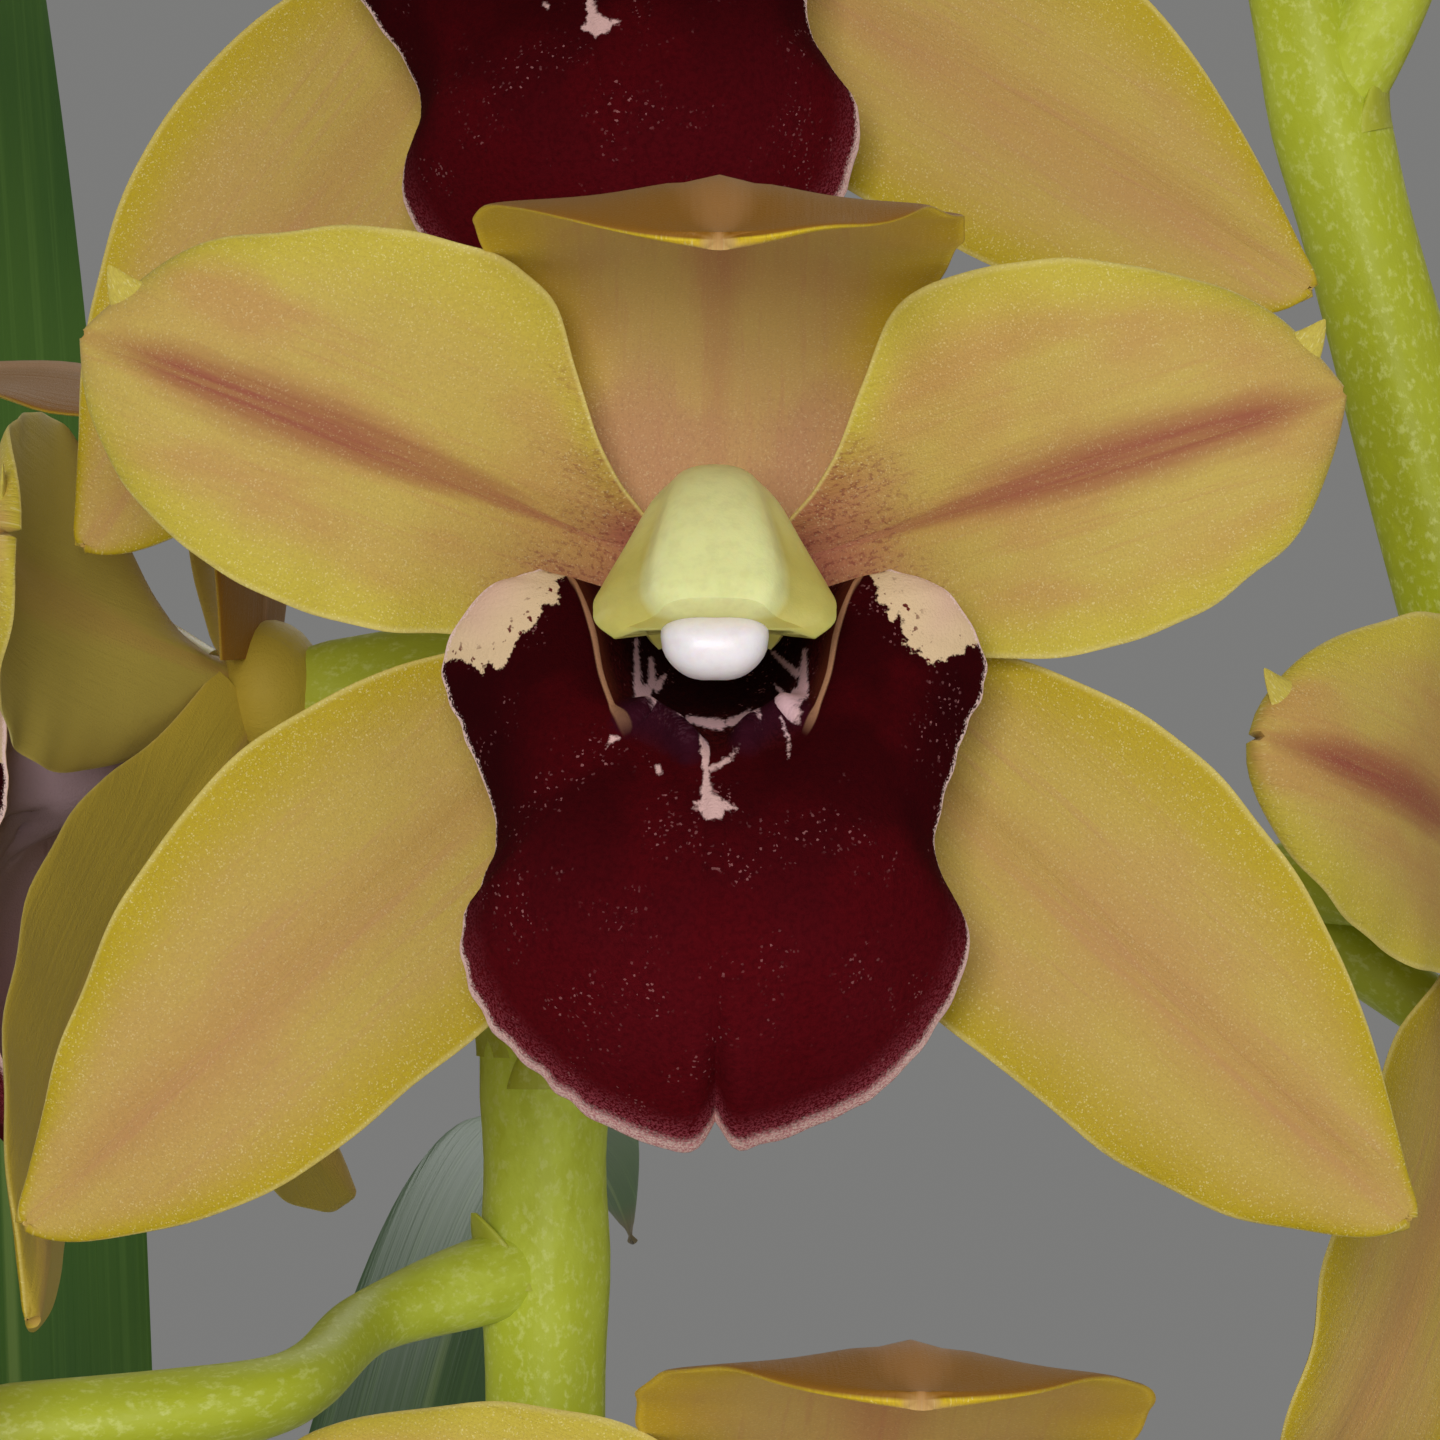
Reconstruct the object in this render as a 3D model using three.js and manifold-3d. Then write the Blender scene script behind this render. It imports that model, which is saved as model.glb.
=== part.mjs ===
// A potted cymbidium orchid: two flower spikes with twelve open blooms over four leafy growths.
// Millimetres, +Z up. The origin is the centre of the pot's underside, and the blooms face -Y.

import * as THREE from 'three';
import { mergeVertices } from 'three/addons/utils/BufferGeometryUtils.js';
import Module from 'manifold-3d';

const wasm = await Module();
wasm.setup();

// Driving dimensions

const GAP = 0.35;                     // left between pieces that touch

const POT_HEIGHT = 178;
const POT_BASE_RADIUS = 68;
const POT_TOP_RADIUS = 92;
const POT_RIM_RADIUS = 98;
const POT_RIM_HEIGHT = 30;
const POT_WALL = 6;
const POT_FLOOR = 9;
const POT_BEVEL = 2;                  // taken off the rim's edges
const POT_SIDES = 24;
const DRAIN_RADIUS = 7;
const DRAIN_CIRCLE = 38;
const DRAIN_COUNT = 4;

const BARK_TOP = 156;
const CHIP_COUNT = 16;
const CHIP_SEED = 7;
const CHIP_TILT = 22;                 // most that a chip leans, in degrees
const CHIP_RISE = 0.6;                // of its middle over the top of the bark
const GOLDEN_ANGLE = Math.PI * (3 - Math.sqrt(5));
const CHIP_LENGTH = 20;
const CHIP_WIDTH = 12;
const CHIP_HEIGHT = 7;

const BULB_HEIGHT = 66;
const BULB_RADIUS = 21;
const BULB_FLATNESS = 0.82;           // depth over width
const BULB_SUNK = 12;                 // below the top of the bark
const LEAF_THICKNESS = 1.1;
const LEAF_SPANS = 6;
const LEAF_BEND_POWER = 1.5;          // more than 1 keeps a leaf's foot straight
const LEAF_LEAN = 7;                  // from the middle of its bulb to its foot
const LEAF_SINKS = [12, 34];          // below the bulb's top, of the first leaf and the last

const RACHIS_RADIUS = 3.9;
const RACHIS_TIP_RADIUS = 1.7;
const RACHIS_TAPER_START = 0.35;      // share of its height
const STEM_HOLE_LENGTH = 46;
const PEDICEL_RADIUS = 2.1;
const OVARY_RADIUS = 2.7;
const OVARY_SWELLS = [0.45, 0.75];    // shares of the pedicel's length
const BUD_LENGTHS = [30, 12];         // of the lowest bud and the highest
const BUD_STALK_RADIUS = 1.5;

const TEPAL_THICKNESS = 1.0;
const PETAL_LENGTH = 39;
const SEPAL_LENGTH = 53;
const LIP_THICKNESS = 0.9;
const HUB_RADIUS = 5;
const HUB_DEPTH = 3.2;                // of its middle behind the bloom's origin
const HUB_HALF_LENGTH = 3.4;

// The main bloom stands in front of the first spike's stem, this far above the table.
const MAIN_BLOOM = [10, -40, 480];

// Colours, roughness and metalness of each piece

const FINISH = {
  pot: { color: 0xa8593a, roughness: 0.85, metalness: 0 },
  bark: { color: 0x5b3a22, roughness: 0.95, metalness: 0 },
  leaf: { color: 0x3f6a26, roughness: 0.5, metalness: 0 },
  stem: { color: 0x8a9a2c, roughness: 0.45, metalness: 0 },
  tepals: { color: 0xbba343, roughness: 0.55, metalness: 0 },
  lip: { color: 0x48060d, roughness: 0.7, metalness: 0 },
  column: { color: 0xd4d488, roughness: 0.45, metalness: 0 },
  cap: { color: 0xe6dce4, roughness: 0.5, metalness: 0 },
};

// Small helpers

const radians = (degrees) => degrees * Math.PI / 180;

const mix = (a, b, share) => a + (b - a) * share;

// A seeded draw from 0 to 1, the same on every run.
function seededDraw(seed) {
  let state = seed >>> 0;
  return () => {
    state = (state + 0x6d2b79f5) >>> 0;
    let t = state;
    t = Math.imul(t ^ (t >>> 15), t | 1);
    t ^= t + Math.imul(t ^ (t >>> 7), t | 61);
    return ((t ^ (t >>> 14)) >>> 0) / 4294967296;
  };
}

// A smooth curve through knots [place, value, value, ...], as an array of values.
function smooth(knots, at) {
  const last = knots.length - 2;
  const place = THREE.MathUtils.clamp(at, knots[0][0], knots[last + 1][0]);
  let i = 0;
  while (i < last && place > knots[i + 1][0]) i += 1;
  const slope = (j, k) => (knots[j + 1][k] - knots[j][k]) / (knots[j + 1][0] - knots[j][0]);
  const tangent = (j, k) => {
    if (j === 0) return slope(0, k);
    if (j === last + 1) return slope(last, k);
    const before = knots[j][0] - knots[j - 1][0];
    const after = knots[j + 1][0] - knots[j][0];
    return (slope(j - 1, k) * after + slope(j, k) * before) / (before + after);
  };
  const h = knots[i + 1][0] - knots[i][0];
  const u = (place - knots[i][0]) / h;
  const values = [];
  for (let k = 1; k < knots[0].length; k += 1) {
    const start = (2 * u ** 3 - 3 * u ** 2 + 1) * knots[i][k];
    const leave = (u ** 3 - 2 * u ** 2 + u) * h * tangent(i, k);
    const end = (3 * u ** 2 - 2 * u ** 3) * knots[i + 1][k];
    const arrive = (u ** 3 - u ** 2) * h * tangent(i + 1, k);
    values.push(start + leave + end + arrive);
  }
  return values;
}

// A half width through knots [place, half width]: its square is smooth, so a tip that closes is round.
function halfWidth(knots, at) {
  const squares = knots.map(([place, value]) => [place, value * value]);
  return Math.sqrt(Math.max(smooth(squares, at)[0], 0));
}

// Solids

// The solid of a list of points and triangles, turned so that its faces point outwards.
function solidOf(points, triangles) {
  const geometry = new THREE.BufferGeometry();
  const corners = points.flatMap((p) => [p.x, p.y, p.z]);
  geometry.setAttribute('position', new THREE.Float32BufferAttribute(corners, 3));
  geometry.setIndex(triangles.flat());
  return solidOfGeometry(geometry);
}

function solidOfGeometry(source) {
  const bare = source.index ? source.clone() : source.toNonIndexed();
  bare.deleteAttribute('normal');
  bare.deleteAttribute('uv');
  const merged = mergeVertices(bare, 1e-5);
  const corners = merged.getAttribute('position');
  const index = Uint32Array.from(merged.index.array);
  const corner = (i) => new THREE.Vector3().fromBufferAttribute(corners, i);
  let volume = 0;
  for (let i = 0; i < index.length; i += 3) {
    volume += corner(index[i]).dot(corner(index[i + 1]).cross(corner(index[i + 2])));
  }
  if (volume < 0) index.reverse();
  const vertProperties = Float32Array.from(corners.array);
  return new wasm.Manifold(new wasm.Mesh({ numProp: 3, vertProperties, triVerts: index }));
}

function geometryOf(solid) {
  const mesh = solid.getMesh();
  const geometry = new THREE.BufferGeometry();
  geometry.setAttribute('position', new THREE.Float32BufferAttribute(mesh.vertProperties, 3));
  geometry.setIndex(Array.from(mesh.triVerts));
  geometry.computeVertexNormals();
  return geometry;
}

const cornersOf = (mesh, triangle) => [0, 1, 2].map((k) => mesh.triVerts[triangle * 3 + k]);

// The outer skin alone: a hollow that fusing has sealed is filled, and a loose scrap is dropped.
function outerSkin(solid) {
  const mesh = solid.getMesh();
  const parent = Array.from({ length: mesh.numVert }, (_, i) => i);
  const rootOf = (i) => {
    let root = i;
    while (parent[root] !== root) root = parent[root];
    return root;
  };
  for (let t = 0; t < mesh.numTri; t += 1) {
    const [a, b, c] = cornersOf(mesh, t).map(rootOf);
    const root = Math.min(a, b, c);
    parent[a] = root;
    parent[b] = root;
    parent[c] = root;
  }
  const corner = (i) => new THREE.Vector3().fromArray(mesh.vertProperties, i * mesh.numProp);
  const volumes = new Map();
  for (let t = 0; t < mesh.numTri; t += 1) {
    const [a, b, c] = cornersOf(mesh, t);
    const root = rootOf(a);
    const volume = corner(a).dot(corner(b).cross(corner(c)));
    volumes.set(root, (volumes.get(root) ?? 0) + volume);
  }
  if (volumes.size === 1) return solid;
  const [largest] = [...volumes.entries()].sort((p, q) => q[1] - p[1])[0];
  const kept = [];
  for (let t = 0; t < mesh.numTri; t += 1) {
    const trio = cornersOf(mesh, t);
    if (rootOf(trio[0]) === largest) kept.push(...trio);
  }
  const triVerts = Uint32Array.from(kept);
  return new wasm.Manifold(new wasm.Mesh({ numProp: 3, vertProperties: mesh.vertProperties, triVerts }));
}

const fuse = (solids) => outerSkin(solids.reduce((whole, piece) => whole.add(piece)));

// A closed skin over rings of points, each ring the same count, with a fan over each end.
function loft(rings) {
  const count = rings[0].length;
  const points = rings.flat();
  const triangles = [];
  for (let i = 0; i + 1 < rings.length; i += 1) {
    for (let j = 0; j < count; j += 1) {
      const a = i * count + j;
      const b = i * count + (j + 1) % count;
      triangles.push([a, b, a + count], [b, b + count, a + count]);
    }
  }
  const end = (rings.length - 1) * count;
  for (let j = 1; j + 1 < count; j += 1) {
    triangles.push([0, j + 1, j], [end, end + j, end + j + 1]);
  }
  return solidOf(points, triangles);
}

// A closed sheet of one thickness. Rows of points give its middle, and both faces are split alike.
function sheet(rows, thickness) {
  const high = rows.length;
  const wide = rows[0].length;
  const at = (i, j) => rows[THREE.MathUtils.clamp(i, 0, high - 1)][THREE.MathUtils.clamp(j, 0, wide - 1)];
  const front = [];
  const back = [];
  for (let i = 0; i < high; i += 1) {
    for (let j = 0; j < wide; j += 1) {
      const along = at(i + 1, j).clone().sub(at(i - 1, j));
      const across = at(i, j + 1).clone().sub(at(i, j - 1));
      const lift = along.cross(across).setLength(thickness / 2);
      front.push(at(i, j).clone().add(lift));
      back.push(at(i, j).clone().sub(lift));
    }
  }
  const shift = front.length;
  const triangles = [];
  for (let i = 0; i + 1 < high; i += 1) {
    for (let j = 0; j + 1 < wide; j += 1) {
      const a = i * wide + j;
      const b = a + 1;
      const c = a + wide;
      const d = c + 1;
      const split = j < (wide - 1) / 2 ? [[a, c, b], [b, c, d]] : [[a, c, d], [a, d, b]];
      for (const [p, q, r] of split) {
        triangles.push([p, q, r], [p + shift, r + shift, q + shift]);
      }
    }
  }
  const rim = [];
  for (let j = 0; j < wide; j += 1) rim.push(j);
  for (let i = 1; i < high; i += 1) rim.push(i * wide + wide - 1);
  for (let j = wide - 2; j >= 0; j -= 1) rim.push((high - 1) * wide + j);
  for (let i = high - 2; i > 0; i -= 1) rim.push(i * wide);
  rim.forEach((a, k) => {
    const b = rim[(k + 1) % rim.length];
    triangles.push([a, b, a + shift], [b, b + shift, a + shift]);
  });
  return solidOf([...front, ...back], triangles);
}

// A stem along a curve, with a radius for each share of its length.
function stem(points, radiusAt, steps, sides) {
  const curve = new THREE.CatmullRomCurve3(points);
  const frames = curve.computeFrenetFrames(steps, false);
  const rings = [];
  for (let i = 0; i <= steps; i += 1) {
    const centre = curve.getPointAt(i / steps);
    const ring = [];
    for (let j = 0; j < sides; j += 1) {
      const turn = 2 * Math.PI * j / sides;
      const reach = radiusAt(i / steps);
      const out = frames.normals[i].clone().multiplyScalar(Math.cos(turn) * reach);
      out.addScaledVector(frames.binormals[i], Math.sin(turn) * reach);
      ring.push(centre.clone().add(out));
    }
    rings.push(ring);
  }
  return loft(rings);
}

// An egg shape: a sphere with its own half sizes, turned so that its length lies along a direction.
function egg(centre, direction, halfLength, halfWide, sides, levels) {
  const geometry = new THREE.SphereGeometry(1, sides, levels);
  geometry.scale(halfWide, halfLength, halfWide);
  const pole = new THREE.Vector3(0, 1, 0);
  geometry.applyQuaternion(new THREE.Quaternion().setFromUnitVectors(pole, direction.clone().normalize()));
  geometry.translate(centre.x, centre.y, centre.z);
  return solidOfGeometry(geometry);
}

// The bloom, in its own frame: x to its right and z up. It faces -y from the top of its ovary, the origin.

// A sepal or petal lies along a spine. `angle` is its direction seen from the front, and each spine knot
// is [share of its length, reach along that direction, depth]. `left` and `right` are its half widths on
// each side of the spine, `cup` is how far its edges stand in front of its middle, and `rows` are where
// its solid is cut.
const PETAL_SPINE = [[0, 0, 2], [0.25, 10, -1.5], [0.5, 20, -5], [0.75, 30, -6.5], [1, PETAL_LENGTH, -4.5]];
const PETAL_CUP = [[0, 1.5], [0.5, 0.5], [1, -0.8]];
const SEPAL_SPINE = [[0, 0, 3], [0.25, 13, -1], [0.5, 27, -4], [0.75, 40, -5], [1, SEPAL_LENGTH, -3]];
const SEPAL_CUP = [[0, 1.5], [0.5, 1.0], [1, 0.5]];
const PETAL_UPPER = [[0, 2.6], [0.22, 4.2], [0.3, 8], [0.39, 11.5], [0.46, 13], [0.57, 13], [0.68, 12],
  [0.77, 10.2], [0.88, 7], [0.95, 4.3], [1, 1]];
const PETAL_LOWER = [[0, 2.6], [0.15, 5], [0.35, 8.2], [0.51, 10.2], [0.61, 10.3], [0.72, 9.6], [0.81, 8.5],
  [0.92, 5.6], [1, 1]];
const SEPAL_OUTER = [[0, 3.5], [0.26, 8.5], [0.4, 11], [0.5, 11.5], [0.59, 11], [0.76, 8.3], [0.9, 4.1],
  [1, 0.9]];
const SEPAL_INNER = [[0, 3], [0.19, 6], [0.34, 8.4], [0.47, 9], [0.64, 8.4], [0.75, 7.9], [0.92, 3.9],
  [1, 0.9]];
const HOOD_SPINE = [[0, 1, 1.5], [0.14, 8, 1.2], [0.28, 13.5, -1], [0.42, 18, -5.5], [0.56, 21, -11.5],
  [0.7, 22.1, -18], [0.85, 21.3, -25], [1, 18.2, -31]];
const HOOD_HALF = [[0, 4], [0.15, 7], [0.3, 10.5], [0.45, 12.8], [0.6, 13.6], [0.72, 13.2], [0.84, 10.8],
  [0.93, 7.2], [1, 1.2]];
const HOOD_CUP = [[0, 1], [0.3, 3], [0.6, 4.5], [0.75, 3.2], [0.88, 1.4], [1, 0]];

const PETAL_ROWS = [0.07, 0.3, 0.52, 0.78, 1];
const SEPAL_ROWS = [0.055, 0.32, 0.58, 0.82, 1];
const HOOD_ROWS = [0.06, 0.3, 0.5, 0.7, 0.88, 1];
const TEPAL_COLUMNS = [-1, 0, 1];
const HOOD_COLUMNS = [-1, -0.45, 0.45, 1];

const PETAL = { spine: PETAL_SPINE, cup: PETAL_CUP, rows: PETAL_ROWS };
const SEPAL = { spine: SEPAL_SPINE, cup: SEPAL_CUP, rows: SEPAL_ROWS };
const TEPALS = [
  { angle: 158.5, ...PETAL, left: PETAL_LOWER, right: PETAL_UPPER },
  { angle: 17, ...PETAL, left: PETAL_UPPER, right: PETAL_LOWER },
  { angle: 221.6, ...SEPAL, left: SEPAL_INNER, right: SEPAL_OUTER },
  { angle: 318.4, ...SEPAL, left: SEPAL_OUTER, right: SEPAL_INNER },
  { angle: 90, spine: HOOD_SPINE, left: HOOD_HALF, right: HOOD_HALF, cup: HOOD_CUP, rows: HOOD_ROWS },
];

function tepal({ angle, spine, left, right, cup, rows }, columns) {
  const ahead = new THREE.Vector3(Math.cos(radians(angle)), 0, Math.sin(radians(angle)));
  const beside = new THREE.Vector3(-Math.sin(radians(angle)), 0, Math.cos(radians(angle)));
  const middle = (share) => {
    const [reach, depth] = smooth(spine, share);
    return ahead.clone().multiplyScalar(reach).add(new THREE.Vector3(0, depth, 0));
  };
  const step = 1e-3;
  return rows.map((share) => {
    const along = middle(Math.min(share + step, 1)).sub(middle(Math.max(share - step, 0))).normalize();
    const front = beside.clone().cross(along).multiplyScalar(-1);
    return columns.map((across) => {
      const half = across < 0 ? halfWidth(right, share) : halfWidth(left, share);
      const lift = smooth(cup, share)[0] * across * across;
      return middle(share).addScaledVector(beside, half * across).addScaledVector(front, lift);
    });
  });
}

function tepalsSolid() {
  const blades = TEPALS.map((blade) => {
    const columns = blade.spine === HOOD_SPINE ? HOOD_COLUMNS : TEPAL_COLUMNS;
    return sheet(tepal(blade, columns), TEPAL_THICKNESS);
  });
  const middle = new THREE.Vector3(0, HUB_DEPTH, 0);
  const hub = egg(middle, new THREE.Vector3(0, 1, 0), HUB_HALF_LENGTH, HUB_RADIUS, 6, 4);
  return fuse([hub, ...blades]);
}

// The lip is one sheet around its throat. A place around it runs from 0, at the peak of a side lobe, to 1,
// at the notch of the midlobe. Each knot is [place around, x, y, z] on the right half, and the left is its
// mirror.
const LIP_MARGIN = [[0, 9.9, -11, 0.7], [0.1, 13.2, -11, -0.7], [0.2, 15.4, -10.5, -4.7],
  [0.33, 13.7, -11.8, -9.4], [0.47, 12.5, -13.2, -15.3], [0.6, 14.2, -12.2, -20.8],
  [0.68, 13, -11.6, -24.5], [0.77, 10.1, -11.6, -28], [0.88, 6, -11.8, -30.7],
  [0.95, 2, -12.2, -32], [1, 0, -12.6, -30.7]];
const LIP_MOUTH = [[0, 8.4, -10.6, 0.2], [0.22, 7, -13.2, -3], [0.34, 6.6, -14, -5.3],
  [0.44, 5.9, -14.6, -7.2], [0.52, 5.2, -15, -8.6], [0.62, 4, -15.3, -9.6], [1, 0, -15.6, -10.1]];
const LIP_BASE = [[0, 5.2, -1.8, -1.9], [0.2, 5, -1.8, -3.2], [0.4, 4.4, -1.8, -4.8],
  [0.6, 3.2, -1.8, -5.9], [1, 0, -1.8, -6.6]];
const LIP_BULGE = [[0, 0], [0.1, 0.6], [0.3, 1.5], [0.5, 2], [0.7, 4.5], [1, 6]];
const LIP_AROUND = [0, 0.2, 0.47, 0.66, 0.93];
const LIP_ALONG = [-1, 0, 0.45, 1];

function lipPoint(around, along, side) {
  const [x0, y0, z0] = smooth(LIP_MOUTH, around);
  const [x1, y1, z1] = smooth(along < 0 ? LIP_BASE : LIP_MARGIN, around);
  const share = Math.abs(along);
  const bulge = along > 0 ? smooth(LIP_BULGE, around)[0] * 4 * share * (1 - share) : 0;
  return new THREE.Vector3(side * mix(x0, x1, share), mix(y0, y1, share) - bulge, mix(z0, z1, share));
}

function lipSolid() {
  const right = LIP_AROUND.map((around) => LIP_ALONG.map((along) => lipPoint(around, along, 1)));
  const left = LIP_AROUND.map((around) => LIP_ALONG.map((along) => lipPoint(around, along, -1)));
  const middle = LIP_ALONG.map((along) => lipPoint(1, along, 0));
  return sheet([...right, middle, ...left.reverse()], LIP_THICKNESS);
}

// The column arches forward over the lip. Each knot is [share, depth, height, half width, rise above the
// spine, drop below it].
const COLUMN = [[0, -1.8, -0.2, 3.2, 3.2, 2], [0.3, -7.5, 2.2, 3.7, 3.9, 2.4],
  [0.55, -13, 2.5, 4.6, 3.9, 2.4], [0.78, -17.2, 0.2, 6.2, 3.6, 1.8], [0.92, -19, -1.4, 6, 3.2, 1.2],
  [1, -19.6, -2.2, 4.6, 2.6, 0.8]];
const COLUMN_ROWS = [0, 0.4, 0.78, 1];
const COLUMN_SIDES = 8;
const ANTHER_CAP = { depth: -20.3, height: -3.9, half: [3.1, 2.4, 1.9] };

// The column, or with a clearance the room that it takes.
function columnSolid(clearance) {
  const step = 1e-3;
  const rings = COLUMN_ROWS.map((share) => {
    const [depth, height, half, rise, drop] = smooth(COLUMN, share);
    const before = smooth(COLUMN, Math.max(share - step, 0));
    const after = smooth(COLUMN, Math.min(share + step, 1));
    const along = new THREE.Vector3(0, after[0] - before[0], after[1] - before[1]).normalize();
    const up = new THREE.Vector3(1, 0, 0).cross(along).multiplyScalar(-1);
    const ring = [];
    for (let j = 0; j < COLUMN_SIDES; j += 1) {
      const turn = 2 * Math.PI * j / COLUMN_SIDES;
      const lift = Math.sin(turn) * ((Math.sin(turn) > 0 ? rise : drop) + clearance);
      const spot = new THREE.Vector3((half + clearance) * Math.cos(turn), depth, height);
      ring.push(spot.addScaledVector(up, lift).addScaledVector(along, share === 1 ? clearance : 0));
    }
    return ring;
  });
  return loft(rings);
}

// The anther cap is seated under the column's tip.
function capSolid() {
  const cap = new THREE.SphereGeometry(1, 6, 5);
  cap.scale(...ANTHER_CAP.half);
  cap.translate(0, ANTHER_CAP.depth, ANTHER_CAP.height);
  return solidOfGeometry(cap).subtract(columnSolid(GAP));
}

// Where each bloom stands: its place from the main bloom, its turn to the right, its nod, its roll, its
// size, and the height on its spike's stem where its pedicel leaves.
const SPIKE_A_BLOOMS = [
  { at: [0, 0, 0], turn: 0, nod: 0, roll: 0, size: 1, joins: -34 },
  { at: [-7.7, 22, 44.4], turn: -2, nod: 0, roll: 13.7, size: 0.97, joins: 12 },
  { at: [-31.5, 45, -6], turn: -101, nod: 2, roll: -2, size: 0.98, joins: -28 },
  { at: [10.7, -12, -66], turn: 3, nod: 2, roll: -1, size: 1.03, joins: -100 },
  { at: [-51, 20, -52], turn: -76, nod: 6, roll: 5, size: 1, joins: -42 },
  { at: [-52, 28, 78], turn: -62, nod: 2, roll: 4, size: 0.96, joins: 48 },
  { at: [18, 6, 97], turn: 14, nod: -2, roll: -6, size: 0.94, joins: 66 },
  { at: [-22, 22, 142], turn: -16, nod: -5, roll: 3, size: 0.88, joins: 106 },
];
const SPIKE_B_BLOOMS = [
  { at: [57, 50, -16], turn: 48, nod: 0, roll: -4, size: 0.98, joins: -46 },
  { at: [86, 84, 6], turn: 112, nod: 3, roll: 3, size: 0.98, joins: -22 },
  { at: [74, 44, 66], turn: 58, nod: 0, roll: -3, size: 0.96, joins: 32 },
  { at: [66, 46, 138], turn: 46, nod: -6, roll: -2, size: 0.88, joins: 100 },
];

// Stems of the spikes, from the bark up, as places from the main bloom.
const SPIKE_A_PATH = [[-2, 34, -336], [-6, 42, -260], [-10.4, 49, -160], [-11.1, 50, -60], [-11.1, 50, 0],
  [-9.6, 49, 60], [-8, 44, 120], [-6, 37, 178]];
const SPIKE_B_PATH = [[24, 44, -336], [44, 50, -250], [62, 56, -150], [65, 59, -80], [54, 60, -20],
  [45.6, 60, 13], [38.8, 60, 40], [31, 58, 90], [26, 53, 140], [24, 47, 180]];
const SPIKE_A_BUDS = [{ joins: 132, turn: 200 }, { joins: 148, turn: -80 }, { joins: 162, turn: 40 }];
const SPIKE_B_BUDS = [{ joins: 128, turn: 120 }, { joins: 150, turn: 20 }, { joins: 166, turn: 75 }];

const fromMain = ([x, y, z]) => new THREE.Vector3(x + MAIN_BLOOM[0], y + MAIN_BLOOM[1], z + MAIN_BLOOM[2]);

function bloomPlace({ at, turn, nod, roll, size }) {
  const spot = new THREE.Object3D();
  spot.position.copy(fromMain(at));
  spot.rotation.set(radians(nod), -radians(roll), radians(turn), 'ZXY');
  spot.scale.setScalar(size);
  spot.updateMatrix();
  return spot;
}

// Flower stems

// The point and the direction of a stem at a height above the main bloom.
function stemAt(curve, height) {
  const wanted = height + MAIN_BLOOM[2];
  let low = 0;
  let high = 1;
  for (let i = 0; i < 30; i += 1) {
    const middle = (low + high) / 2;
    if (curve.getPointAt(middle).z < wanted) low = middle;
    else high = middle;
  }
  return { share: low, point: curve.getPointAt(low), along: curve.getTangentAt(low) };
}

const RACHIS_SIDES = 7;
const RACHIS_STEPS = 14;
const PEDICEL_SIDES = 5;
const PEDICEL_STEPS = 4;

function pedicelPath(joint, along, end, facing) {
  const reach = joint.distanceTo(end);
  const leave = joint.clone().addScaledVector(along, reach * 0.12);
  leave.add(end.clone().sub(joint).multiplyScalar(0.3));
  const arrive = end.clone().addScaledVector(facing, -reach * 0.42);
  return [joint, leave, arrive, end];
}

function spikeSolid(path, blooms, buds) {
  const points = path.map(fromMain);
  const curve = new THREE.CatmullRomCurve3(points);
  const taper = (share) => Math.max(share - RACHIS_TAPER_START, 0) / (1 - RACHIS_TAPER_START);
  const rachisRadius = (share) => mix(RACHIS_RADIUS, RACHIS_TIP_RADIUS, taper(share));
  const pieces = [stem(points, rachisRadius, RACHIS_STEPS, RACHIS_SIDES)];
  for (const bloom of blooms) {
    const place = bloomPlace(bloom);
    const { point, along } = stemAt(curve, bloom.joins);
    const facing = new THREE.Vector3(0, -1, 0).applyQuaternion(place.quaternion);
    const behind = (HUB_DEPTH + HUB_HALF_LENGTH + GAP) * bloom.size;
    const end = place.position.clone().addScaledVector(facing, -behind);
    const route = pedicelPath(point, along, end, facing);
    const swelling = (share) => THREE.MathUtils.smoothstep(share, ...OVARY_SWELLS);
    const radius = (share) => mix(PEDICEL_RADIUS, OVARY_RADIUS, swelling(share));
    pieces.push(stem(route, radius, PEDICEL_STEPS, PEDICEL_SIDES));
  }
  buds.forEach(({ joins, turn }, i) => {
    const { point, along } = stemAt(curve, joins);
    const outward = new THREE.Vector3(Math.sin(radians(turn)), -Math.cos(radians(turn)), 0);
    const length = mix(...BUD_LENGTHS, i / (buds.length - 1));
    const end = point.clone().addScaledVector(outward, length * 0.8).addScaledVector(along, length * 0.62);
    const knee = point.clone().lerp(end, 0.5).setZ(mix(point.z, end.z, 0.4));
    pieces.push(stem([point, knee, end], () => BUD_STALK_RADIUS, 3, 5));
    const direction = end.clone().sub(point).normalize();
    const middle = end.clone().addScaledVector(direction, length * 0.34);
    pieces.push(egg(middle, direction, length * 0.46, length * 0.2, 5, 4));
  });
  const tip = points[points.length - 1];
  pieces.push(egg(tip, new THREE.Vector3(0, 0, 1), 6, 2.6, 5, 4));
  return fuse(pieces);
}

// Growths

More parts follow.
